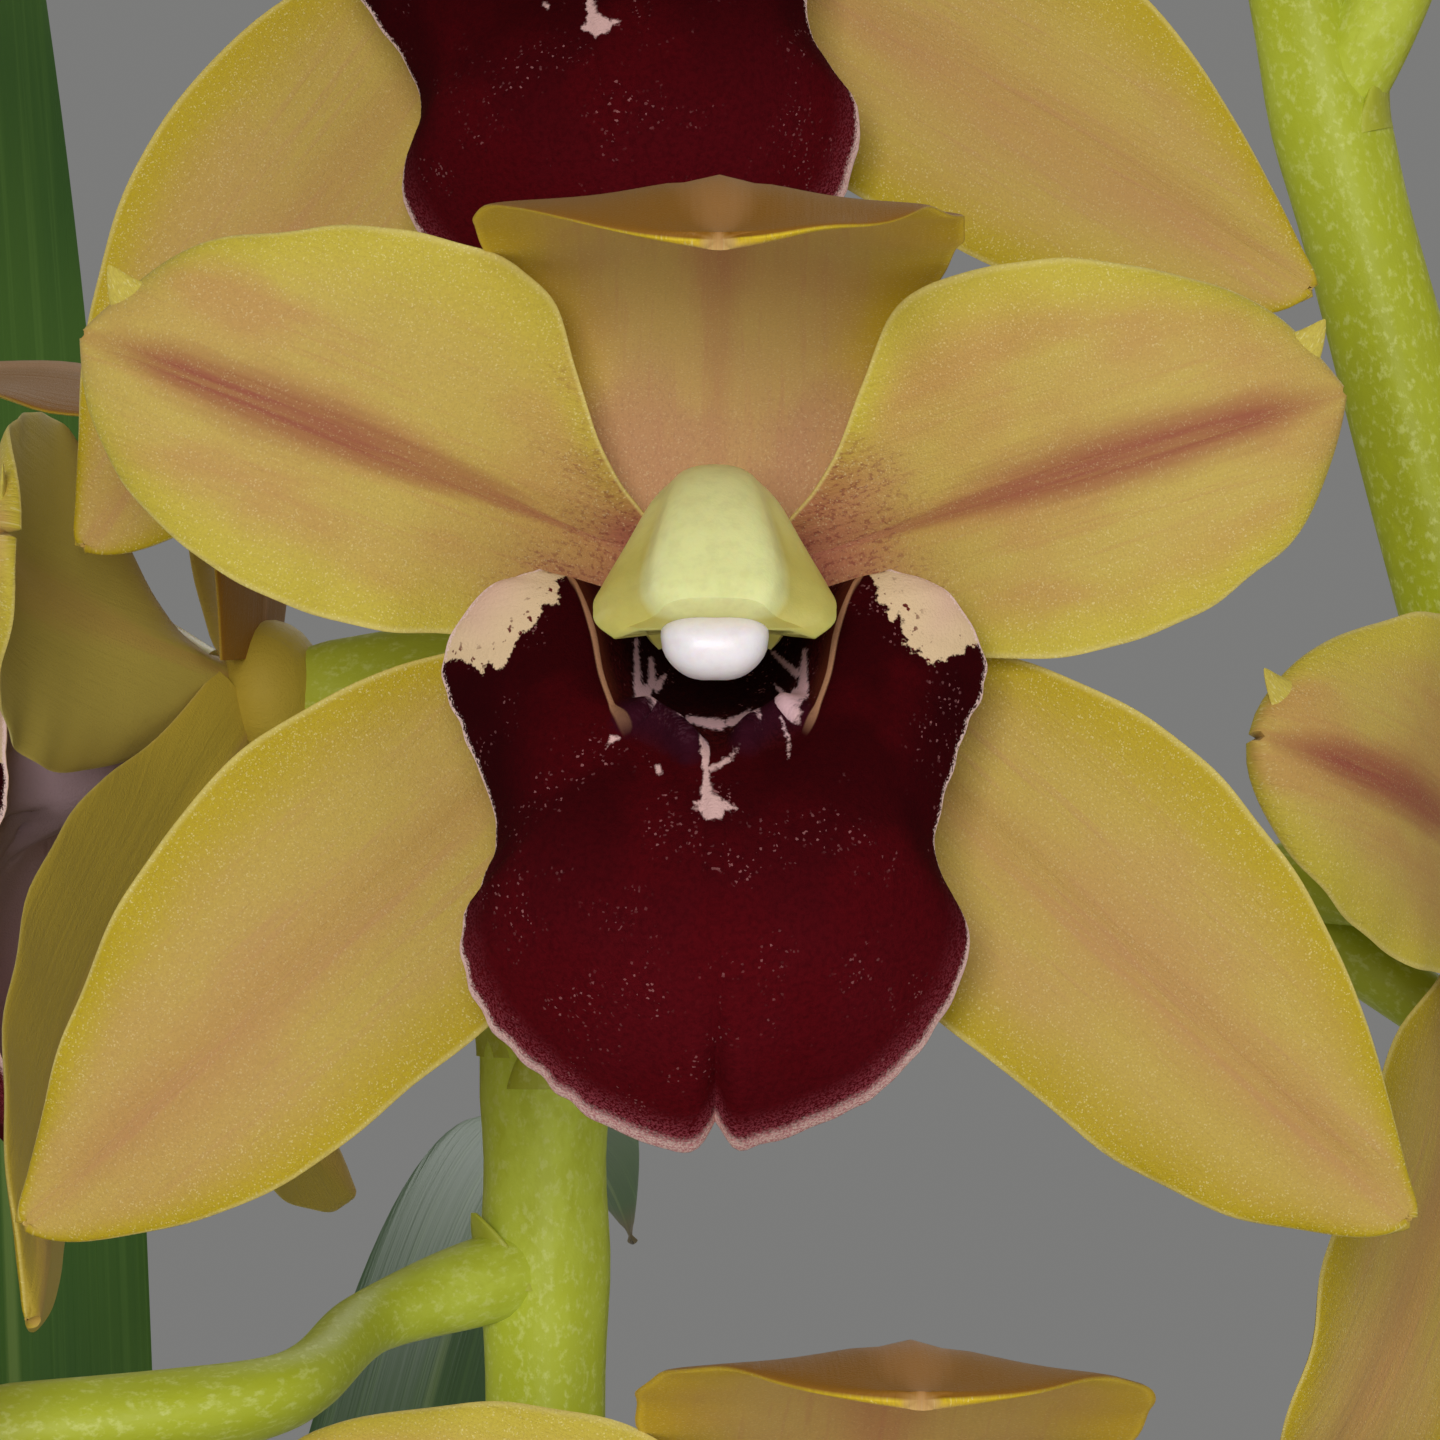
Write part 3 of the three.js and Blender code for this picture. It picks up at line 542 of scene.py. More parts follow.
class Graph:
    """Adds nodes to a tree. Each call returns the new node's output socket."""

    def __init__(self, tree: Tree) -> None:
        """Starts on a tree.

        Args:
            tree: The tree of a material or a node group.
        """
        self.tree = tree

    def add(self, kind: str, inputs: dict[str | int, Value], output: str | int = 0,
            **settings: object) -> Socket:
        """Adds a node.

        Args:
            kind: Its type, without the word ShaderNode.
            inputs: A socket to link, or a constant to set, for each input.
            output: Name or number of the output to return.
            **settings: The node's own properties.

        Returns:
            The output socket.
        """
        node = self.tree.nodes.new("ShaderNode" + kind)
        for name, value in settings.items():
            setattr(node, name, value)
        for name, value in inputs.items():
            feed(self.tree, node.inputs[name], value)
        return node.outputs[output]

    def mark(self, name: str) -> Socket:
        """The vector that a mesh's points carry under a name."""
        return self.add("Attribute", {}, "Vector", attribute_name=name, attribute_type="GEOMETRY")

    def parts(self, vector: Socket) -> list[Socket]:
        """The three numbers of a vector."""
        return list(self.add("SeparateXYZ", {0: vector}).node.outputs)

    def join(self, x: Value, y: Value, z: Value) -> Socket:
        """A vector of three numbers."""
        return self.add("CombineXYZ", {0: x, 1: y, 2: z})

    def math(self, operation: str, first: Value, second: Value = 0.0, third: Value = 0.0) -> Socket:
        """One sum on numbers."""
        return self.add("Math", {0: first, 1: second, 2: third}, operation=operation)

    def times(self, *factors: Value) -> Socket:
        """The product of several numbers."""
        out = factors[0]
        for factor in factors[1:]:
            out = self.math("MULTIPLY", out, factor)
        return out

    def stirred(self, value: Value, noise: Socket, reach: float) -> Socket:
        """A number moved up and down by a noise that is about 0.5."""
        return self.math("MULTIPLY_ADD", self.math("SUBTRACT", noise, 0.5), reach, value)

    def inverse(self, share: Value) -> Socket:
        """What is left of 1."""
        return self.math("SUBTRACT", 1.0, share)

    def band(self, value: Value, low: float, high: float, start: float = 0.0, end: float = 1.0) -> Socket:
        """A smooth rise from start at low to end at high."""
        inputs = {"Value": value, "From Min": low, "From Max": high, "To Min": start, "To Max": end}
        if low > high:
            inputs.update({"From Min": high, "From Max": low, "To Min": end, "To Max": start})
        return self.add("MapRange", inputs, interpolation_type="SMOOTHSTEP")

    def blend(self, share: Value, first: Value, second: Value, kind: str = "MIX") -> Socket:
        """One colour over another."""
        return self.add("Mix", {0: share, 6: first, 7: second}, 2, data_type="RGBA", blend_type=kind)

    def over(self, below: Value, top: Value, *shares: Value) -> Socket:
        """A colour under another, whose strength is the product of the shares."""
        return self.blend(self.times(*shares), below, top)

    def stretched(self, vector: Socket, scale: Colour) -> Socket:
        """A vector with each number scaled by its own factor."""
        return self.add("VectorMath", {0: vector, 1: scale}, operation="MULTIPLY")

    def noise(self, vector: Socket, scale: float = 1.0, detail: float = 2.0,
              roughness: float = 0.55) -> Socket:
        """Smooth noise, about 0.5, at a vector."""
        inputs = {"Vector": vector, "Scale": scale, "Detail": detail, "Roughness": roughness}
        return self.add("TexNoise", inputs, "Fac")

    def cells(self, vector: Socket, scale: float) -> Socket:
        """A number from 0 to 1 that is one cell's own, where the cells are round scattered points."""
        return self.parts(self.add("TexVoronoi", {"Vector": vector, "Scale": scale}, "Color"))[0]

    def bump(self, height: Socket, distance_mm: float, strength: float,
             normal: Socket | None = None) -> Socket:
        """A normal that follows a height."""
        inputs = {"Height": height, "Distance": distance_mm * MM, "Strength": strength}
        if normal is not None:
            inputs["Normal"] = normal
        return self.add("Bump", inputs)

    def call(self, tree: Tree, inputs: dict[str, Value], output: str) -> Socket:
        """Uses a node group."""
        return self.add("Group", inputs, output, node_tree=tree)


def group(name: str, inputs: dict[str, str],
          outputs: dict[str, str]) -> tuple[Tree, bpy.types.Node, bpy.types.Node]:
    """Starts a node group.

    Args:
        name: Its name.
        inputs: Socket type of each input, by name.
        outputs: Socket type of each output, by name.

    Returns:
        The tree, its input node and its output node.
    """
    tree = bpy.data.node_groups.new(name, "ShaderNodeTree")
    for in_out, sockets in (("INPUT", inputs), ("OUTPUT", outputs)):
        for key, kind in sockets.items():
            tree.interface.new_socket(key, in_out=in_out, socket_type="NodeSocket" + kind)
    return tree, tree.nodes.new("NodeGroupInput"), tree.nodes.new("NodeGroupOutput")


def srgb(red: float, green: float, blue: float) -> Colour:
    """The linear colour of a display colour given as 0 to 255."""
    c = np.array([red, green, blue]) / 255.0
    out = np.where(c <= 0.04045, c / 12.92, ((c + 0.055) / 1.055) ** 2.4)
    return tuple(float(v) for v in out)


@dataclass(frozen=True)
class Surface:
    """How a material takes light.

    Attributes:
        roughness: 0 is a mirror.
        specular: Strength of its plain reflection.
        scatter: Share of the light that spreads inside.
        depth_mm: How far it spreads.
        sheen: Strength of a velvet's glow at grazing angles.
        coat: Strength of a clear wax over it.
    """

    roughness: float = 0.5
    specular: float = 0.5
    scatter: float = 0.0
    depth_mm: float = 1.0
    sheen: float = 0.0
    coat: float = 0.0


class Finish:
    """A material that ends in one Principled shader."""

    name = "plain"
    surface = Surface()

    def paint(self, g: Graph) -> dict[str, Value]:
        """Builds the nodes.

        Args:
            g: The material's tree.

        Returns:
            Values or sockets for the Principled shader, by input name.
        """
        raise NotImplementedError

    def make(self) -> Material:
        """Makes the material."""
        material = bpy.data.materials.new(self.name)
        material.use_nodes = True
        shader = material.node_tree.nodes["Principled BSDF"]
        s = self.surface
        fixed = {
            "Roughness": s.roughness,
            "Specular IOR Level": s.specular,
            "Subsurface Weight": s.scatter,
            "Subsurface Radius": (1.0, 0.55, 0.25),
            "Subsurface Scale": s.depth_mm * MM,
            "Sheen Weight": s.sheen,
            "Sheen Roughness": 0.45,
            "Coat Weight": s.coat,
            "Coat Roughness": 0.25,
        }
        for name, value in {**fixed, **self.paint(Graph(material.node_tree))}.items():
            feed(material.node_tree, shader.inputs[name], value)
        return material


def frost_and_glint_group() -> Tree:
    """The crystalline skin of a petal.

    Tiny cells stand for its papillae. Most are dull, and a few give painted glints, light sparkling off
    them.

    Returns:
        The group: from a place in mm, "Sparkle" and the papillae's "Height".
    """
    tree, given, out = group("frost", {"Place": "Vector"}, {"Sparkle": "Float", "Height": "Float"})
    g = Graph(tree)
    place = given.outputs["Place"]
    feed(tree, out.inputs["Sparkle"], g.band(g.cells(place, 13.0), 0.88, 1.0))
    feed(tree, out.inputs["Height"], g.noise(place, 7.0, 2.0, 0.7))
    return tree


def streak_group() -> Tree:
    """Fine lines that run along a blade.

    Noise is squeezed across the blade and drawn out along it, and a slower noise breaks it up.

    Returns:
        The group: from a place in mm, "Lines" about 0.5 and slow "Clouds" 0 to 1.
    """
    tree, given, out = group("streaks", {"Place": "Vector"}, {"Lines": "Float", "Clouds": "Float"})
    g = Graph(tree)
    place = given.outputs["Place"]
    lines = g.noise(g.stretched(place, (1.7, 0.07, 1.0)), 1.0, 3.0, 0.6)
    clouds = g.noise(g.stretched(place, (0.16, 0.07, 1.0)), 1.0, 3.0, 0.55)
    feed(tree, out.inputs["Lines"], lines)
    feed(tree, out.inputs["Clouds"], g.band(clouds, 0.38, 0.66))
    return tree


@dataclass(frozen=True)
class BladeColours:
    """Colours of one kind of sepal or petal.

    Attributes:
        base: Its main colour.
        margin: Colour towards its edges.
        cloud: Colour of its faint clouds.
        stripe: Colour of the stripe along its middle.
        blush: Colour at its foot.
        rim: Colour of the very edge, partly its own paler margin and partly a painted highlight where the
            edge catches light.
        back: Colour of the back.
        stripe_strength: Strength of the stripe.
        stripe_width: Its width, as a share of the half width.
        cloud_strength: Strength of the clouds.
        line_strength: Strength of the fine lines.
        blush_end: Share of the length where the blush has gone.
        speck: Colour of the specks in the blush.
        speck_strength: Strength of the specks.
    """

    base: Colour
    margin: Colour
    cloud: Colour
    stripe: Colour
    blush: Colour
    rim: Colour
    back: Colour
    stripe_strength: float
    stripe_width: float
    cloud_strength: float
    line_strength: float
    blush_end: float
    speck: Colour
    speck_strength: float


class BladeFinish(Finish):
    """Sepal or petal: yellow, flushed with rose lines, with painted glints that grow towards its edges.

    It reads the mark "blade", which is place across, share along and the seed, and the mark "plan",
    which is the same place in mm.
    """

    surface = Surface(roughness=0.6, specular=0.3, sheen=0.06)

    def __init__(self, name: str, colours: BladeColours, groups: dict[str, Tree]) -> None:
        """Takes its colours and the shared groups."""
        self.name = name
        self.colours = colours
        self.groups = groups

    def paint(self, g: Graph) -> dict[str, Value]:
        """Lays margin, clouds, lines, stripe, blush, flecks, rim and painted glints over the base, then the
        back.
        """
        c = self.colours
        plan = g.mark("plan")
        across, share, _ = g.parts(g.mark("blade"))
        front = g.parts(g.mark("side"))[0]
        aside = g.math("ABSOLUTE", across)
        lines = g.call(self.groups["streaks"], {"Place": plan}, "Lines")
        clouds = g.call(self.groups["streaks"], {"Place": plan}, "Clouds")
        sparkle = g.call(self.groups["frost"], {"Place": plan}, "Sparkle")
        grain = g.call(self.groups["frost"], {"Place": plan}, "Height")

        colour = g.blend(g.band(aside, 0.45, 0.95), c.base, c.margin)
        body = g.times(g.band(share, 0.1, 0.35), g.band(aside, 0.98, 0.6))
        colour = g.over(colour, c.cloud, clouds, body, c.cloud_strength)
        faint = g.times(g.band(lines, 0.5, 0.68), g.band(aside, 0.95, 0.3), c.line_strength)
        colour = g.over(colour, c.cloud, faint)

        wander = g.stirred(aside, lines, 0.22)
        width = g.band(share, 0.15, 0.75, c.stripe_width * 0.5, c.stripe_width * 1.5)
        core = g.band(g.math("DIVIDE", wander, width), 1.0, 0.15)
        strength = g.times(g.band(share, 0.05, 0.62, 0.45, 1.0), g.band(share, 1.0, 0.84, 0.35, 1.0))
        stripe = g.times(core, strength, g.band(lines, 0.25, 0.62, 0.7, 1.0), c.stripe_strength)
        colour = g.over(colour, c.stripe, stripe)

        reach = g.stirred(share, clouds, 0.1)
        blush = g.band(reach, c.blush_end, c.blush_end * 0.3)
        colour = g.over(colour, c.blush, blush, 0.9)
        spread = g.band(reach, c.blush_end, c.blush_end * 0.55)
        dotted = g.noise(g.stretched(plan, (4.6, 2.4, 1.0)), 1.0, 2.0, 0.7)
        specks = g.times(g.band(dotted, 0.5, 0.66), spread, c.speck_strength)
        colour = g.over(colour, c.speck, specks)

        # The very edge: partly its own paler margin, partly a painted highlight where the edge catches
        # light.
        edge = g.band(aside, 0.955, 0.995)
        colour = g.over(colour, c.rim, edge, 0.75)
        # Painted glints: bright specks screened over the colour, stronger towards the edges, stand for
        # light sparkling off the papillae.
        painted_sparkle = g.times(sparkle, g.band(aside, 0.2, 0.95, 0.5, 1.0))
        colour = g.blend(g.times(painted_sparkle, 0.34), colour, (1.0, 0.88, 0.45), "SCREEN")
        mottle = g.times(g.band(grain, 0.42, 0.66), 0.16)
        colour = g.over(colour, tuple(v * 0.55 for v in c.cloud), mottle)
        behind = g.blend(g.times(core, 0.35), c.back, c.cloud)
        colour = g.blend(front, behind, colour)

        ribs = g.bump(lines, 0.22, 0.5)
        normal = g.bump(grain, 0.12, 0.55, ribs)
        rough = g.math("SUBTRACT", self.surface.roughness, g.times(sparkle, 0.15))
        return {"Base Color": colour, "Normal": normal, "Roughness": rough,
                "Sheen Tint": (1.0, 0.95, 0.7)}


class LipFinish(Finish):
    """Lip: velvet maroon with cream lobe tips, pale throat marks and a thin pink rim, with painted shade on
    its sides and deep in the throat and scattered painted glints.

    It reads "plan", the place in mm in the bloom's own frame, "rim", which is the distance to the edge,
    the place round the lip and whether it is inside the throat, "dye", which is the distance into the
    cream patch, into the pale marks and into the dark ridges, and "fold", which is the distance
    outwards from the fold at the throat's mouth. The distances are in mm.
    """

    name = "lip"
    surface = Surface(roughness=0.9, specular=0.03)

    def paint(self, g: Graph) -> dict[str, Value]:
        """Lays the marks, painted shade and painted glints over the velvet, then the back."""
        plan = g.mark("plan")
        z = g.parts(plan)[2]
        rim, around, throat = g.parts(g.mark("rim"))
        cream_in, mark_in, ridge_in = g.parts(g.mark("dye"))
        depth = g.parts(g.mark("fold"))[0]
        line = g.times(g.band(g.math("ABSOLUTE", depth), 0.24, 0.08), g.band(around, 0.54, 0.42))
        tan = g.times(g.band(depth, -2.4, -0.5), g.band(depth, 0.1, -0.2), g.band(around, 0.5, 0.36))
        painted_throat_shade = g.band(depth, -1.8, -7.0)
        front = g.parts(g.mark("side"))[0]
        fine = g.noise(plan, 3.2, 3.0, 0.65)
        slow = g.noise(plan, 0.16, 2.0, 0.5)
        ragged = g.stirred(cream_in, g.noise(plan, 1.3, 3.0, 0.7), 1.5)

        colour = g.blend(g.band(z, -8.0, -26.0), srgb(50, 3, 6), srgb(90, 12, 20))
        colour = g.over(colour, srgb(88, 7, 14), g.band(slow, 0.42, 0.62), 0.4)
        colour = g.over(colour, srgb(36, 2, 6), g.band(fine, 0.35, 0.75), 0.4)
        # Painted shade: the sides darken near the edge, where the lip turns away from the light.
        painted_side_shade = g.times(g.band(rim, 5.5, 1.5), g.band(around, 0.66, 0.5))
        colour = g.over(colour, srgb(38, 2, 6), painted_side_shade, 0.6)
        inner = g.blend(g.band(fine, 0.4, 0.6), srgb(44, 6, 8), srgb(70, 14, 16))
        colour = g.over(colour, inner, throat)
        colour = g.over(colour, srgb(96, 44, 26), tan, 0.6)
        # Painted shade: near black deep inside the throat.
        colour = g.over(colour, srgb(18, 2, 3), painted_throat_shade, 0.85)

        ridge = g.band(g.stirred(ridge_in, fine, 0.4), -0.5, 0.2)
        colour = g.over(colour, srgb(52, 14, 28), ridge, 0.9)
        crest = g.times(g.band(g.noise(plan, 5.0, 2.0, 0.7), 0.5, 0.62), ridge, g.band(ridge_in, 0.1, 0.7))
        colour = g.over(colour, srgb(112, 70, 86), crest, 0.45)
        pale = g.band(g.stirred(mark_in, fine, 0.5), -0.06, 0.14)
        blotch = g.blend(g.band(throat, 0.2, 0.9), srgb(226, 184, 178), srgb(240, 196, 202))
        # The pale marks are dimmed by the painted throat shade.
        colour = g.over(colour, blotch, pale, g.inverse(g.times(painted_throat_shade, 0.35)), 0.95)
        colour = g.over(colour, srgb(204, 150, 112), line, 0.8)

        cream = g.band(ragged, -0.04, 0.14)
        side_cream = g.blend(g.band(cream_in, 0.4, 4.2), srgb(226, 196, 156), srgb(222, 180, 160))
        dots = g.times(g.band(g.noise(plan, 1.9, 2.0, 0.6), 0.62, 0.68), g.band(cream_in, 1.6, 0.4))
        side_cream = g.over(side_cream, srgb(96, 20, 24), dots)
        colour = g.over(colour, side_cream, cream)

        low = g.band(around, 0.45, 0.9)
        wide = g.math("MULTIPLY_ADD", low, 0.7, 0.3)
        torn = g.stirred(rim, g.noise(plan, 6.0, 3.0, 0.7), 1.1)
        border = g.inverse(g.band(g.math("DIVIDE", torn, wide), 0.4, 1.1))
        colour = g.over(colour, srgb(250, 216, 208), border, 0.95)
        blur = g.inverse(g.band(rim, 0.4, 2.6))
        patchy = g.band(g.noise(plan, 7.0, 2.0, 0.7), 0.42, 0.6)
        colour = g.over(colour, srgb(196, 92, 108), blur, low, patchy, 0.7)
        # Painted glints: sparse bright specks stand for light sparkling off the velvet's papillae.
        specks = g.band(g.cells(plan, 8.0), 0.95, 0.99)
        dense = g.band(g.noise(plan, 0.3, 2.0), 0.5, 0.7)
        painted_glints = g.times(specks, dense, g.inverse(cream))
        colour = g.over(colour, srgb(206, 140, 140), painted_glints, 0.4)

        spots = g.band(g.noise(plan, 0.42, 2.0, 0.6), 0.62, 0.66)
        behind = g.blend(g.band(z, -26.0, -2.0), srgb(150, 112, 118), srgb(178, 152, 160))
        behind = g.over(behind, srgb(84, 22, 34), spots, g.band(rim, 7.0, 2.0))
        behind = g.over(behind, srgb(206, 178, 140), g.band(rim, 1.6, 0.9))
        colour = g.blend(front, behind, colour)
        pile = g.bump(g.noise(plan, 6.5, 2.0, 0.7), 0.12, 0.6)
        return {"Base Color": colour, "Normal": g.bump(fine, 0.1, 0.35, pile),
                "Sheen Tint": srgb(150, 40, 50)}


class WaxFinish(Finish):
    """Column and anther cap: pale wax, greener along the ridge, with painted shade in its creases, on the
    column's underside and on the cap's top under the column's tip.
    """

    surface = Surface(roughness=0.36, specular=0.45, scatter=0.4, depth_mm=1.6, coat=0.12)

    def __init__(self, name: str, body: Colour, wing: Colour, shade: Colour) -> None:
        """Takes its three colours."""
        self.name = name
        self.body = body
        self.wing = wing
        self.shade = shade

    def paint(self, g: Graph) -> dict[str, Value]:
        """Blends body to wing by "tone", which is wing, painted shade in the crease and painted shade on
        the column's underside and the cap's top, each 0 to 1.
        """
        plan = g.mark("plan")
        wing, crease, under = g.parts(g.mark("tone"))
        colour = g.blend(wing, self.body, self.wing)
        # Painted shade in the crease.
        colour = g.over(colour, self.shade, crease, 0.5)
        # Painted shade on the column's underside and on the cap's top.
        colour = g.over(colour, self.shade, under, 0.8)
        soft = g.noise(plan, 1.1, 3.0, 0.6)
        colour = g.over(colour, self.shade, g.band(soft, 0.4, 0.7), 0.12)
        return {"Base Color": colour, "Normal": g.bump(g.noise(plan, 5.0, 2.0, 0.6), 0.05, 0.4)}


class StemFinish(Finish):
    """Flower stem: satin yellow-green with pale mottling along it."""

    name = "flower_stem"
    surface = Surface(roughness=0.5, specular=0.35)

    def paint(self, g: Graph) -> dict[str, Value]:
        """Blends by "stalk", which is paleness, dryness and purple flush, and mottles by "plan"."""
        plan = g.mark("plan")
        pale, dry, flush = g.parts(g.mark("stalk"))
        slow = g.noise(g.stretched(plan, (1.0, 1.0, 0.55)), 0.55, 3.0, 0.6)
        fleck = g.noise(g.stretched(plan, (1.0, 1.0, 0.7)), 1.9, 3.0, 0.65)
        colour = g.blend(pale, srgb(164, 170, 6), srgb(214, 228, 84))
        colour = g.over(colour, srgb(186, 196, 34), g.band(slow, 0.4, 0.65), 0.5)
        colour = g.over(colour, srgb(226, 234, 140), g.band(fleck, 0.5, 0.7), 0.5)
        colour = g.over(colour, srgb(120, 70, 40), flush, 0.6)
        fibre = g.noise(g.stretched(plan, (2.4, 2.4, 0.12)), 1.0, 2.0, 0.6)
        husk = g.blend(g.band(fibre, 0.35, 0.65), srgb(150, 112, 62), srgb(196, 164, 104))
        colour = g.over(colour, husk, dry)
        rough = g.math("MULTIPLY_ADD", dry, 0.35, self.surface.roughness)
        normal = g.bump(g.blend(dry, fleck, fibre), 0.1, 0.45)
        return {"Base Color": colour, "Normal": normal, "Roughness": rough}


class LeafFinish(Finish):
    """Leaf or bulb: ribbed waxy green, yellower at the foot, with a dry brown sheath where marked."""

    name = "foliage"
    surface = Surface(roughness=0.46, specular=0.35, coat=0.04)

    def paint(self, g: Graph) -> dict[str, Value]:
        """Blends by "leaf", which is place across, share along and dryness, ribs by "plan"."""
        plan = g.mark("plan")
        across, share, dry = g.parts(g.mark("leaf"))
        aside = g.math("ABSOLUTE", across)
        ribs = g.noise(g.stretched(plan, (1.6, 0.008, 1.0)), 1.0, 3.0, 0.6)
        slow = g.noise(g.stretched(plan, (0.08, 0.012, 1.0)), 1.0, 2.0, 0.5)
        colour = g.blend(g.band(share, 0.0, 0.3), srgb(126, 146, 62), srgb(58, 96, 34))
        colour = g.over(colour, srgb(84, 120, 40), g.band(slow, 0.4, 0.65), 0.5)
        colour = g.over(colour, srgb(100, 136, 58), g.band(ribs, 0.5, 0.7), 0.35)
        colour = g.over(colour, srgb(128, 152, 78), g.band(aside, 0.07, 0.02), 0.5)
        colour = g.over(colour, srgb(120, 92, 48), g.band(share, 0.965, 0.995), 0.8)
        fibre = g.noise(g.stretched(plan, (2.0, 0.05, 1.0)), 1.0, 3.0, 0.65)
        husk = g.blend(g.band(fibre, 0.35, 0.65), srgb(112, 80, 46), srgb(178, 146, 98))
        colour = g.over(colour, husk, dry)
        rough = g.math("MULTIPLY_ADD", dry, 0.4, self.surface.roughness)
        normal = g.bump(g.blend(dry, ribs, fibre), 0.35, 0.5)
        return {"Base Color": colour, "Normal": normal, "Roughness": rough}


class BarkFinish(Finish):
    """Bark chips: fibrous red-brown, each chip a little different."""

    name = "bark"
    surface = Surface(roughness=0.92, specular=0.2)

    def paint(self, g: Graph) -> dict[str, Value]:
        """Blends by "chip", which is the chip's own number, and layers by "plan"."""
        plan = g.mark("plan")
        own = g.parts(g.mark("chip"))[0]
        grain = g.noise(g.stretched(plan, (0.35, 1.6, 2.2)), 1.0, 4.0, 0.65)
        patch = g.noise(plan, 0.35, 2.0)
        colour = g.blend(own, srgb(66, 40, 26), srgb(142, 92, 58))
        colour = g.over(colour, srgb(48, 30, 22), g.band(grain, 0.35, 0.65), 0.6)
        colour = g.over(colour, srgb(158, 118, 82), g.band(patch, 0.52, 0.66), 0.5)
        return {"Base Color": colour, "Normal": g.bump(grain, 0.9, 0.8)}


class ClayFinish(Finish):
    """Unglazed clay: dry, slightly mottled, with fine turning lines."""

    name = "terracotta"
    surface = Surface(roughness=0.86, specular=0.25)

    def paint(self, g: Graph) -> dict[str, Value]:
        """Mottles by the place in mm, and rings it by height."""
        plan = g.mark("plan")
        z = g.parts(plan)[2]
        slow = g.noise(plan, 0.03, 4.0, 0.6)
        fine = g.noise(plan, 1.2, 3.0, 0.65)
        colour = g.blend(g.band(slow, 0.35, 0.65), srgb(168, 98, 66), srgb(190, 120, 84))
        colour = g.over(colour, srgb(206, 156, 124), g.band(fine, 0.5, 0.75), 0.25)
        bloom = g.times(g.band(g.noise(plan, 0.05, 3.0, 0.6), 0.5, 0.7), g.band(z, 60.0, 0.0), 0.35)
        colour = g.over(colour, srgb(214, 186, 160), bloom)
        turning = g.noise(g.join(0.0, 0.0, z), 0.55, 2.0, 0.7)
        return {"Base Color": colour, "Normal": g.bump(fine, 0.15, 0.5, g.bump(turning, 0.3, 0.4))}


# The bloom


@dataclass(frozen=True)
class Detail:
    """How finely a bloom is cut.

    Attributes:
        blade: Rows and columns of a sepal or petal.
        lip: Rows and columns of half a lip.
        column: Rows and sides of the column.
    """

    blade: tuple[int, int]
    lip: tuple[int, int]
    column: tuple[int, int]


CLOSE = Detail(blade=(96, 39), lip=(110, 96), column=(56, 72))
NEAR = Detail(blade=(52, 23), lip=(56, 52), column=(28, 40))


class BladeKind(IntEnum):
    """Kinds of sepal and petal, which are also the numbers of their materials."""

    PETAL = 0
    SEPAL = 1
    HOOD = 2


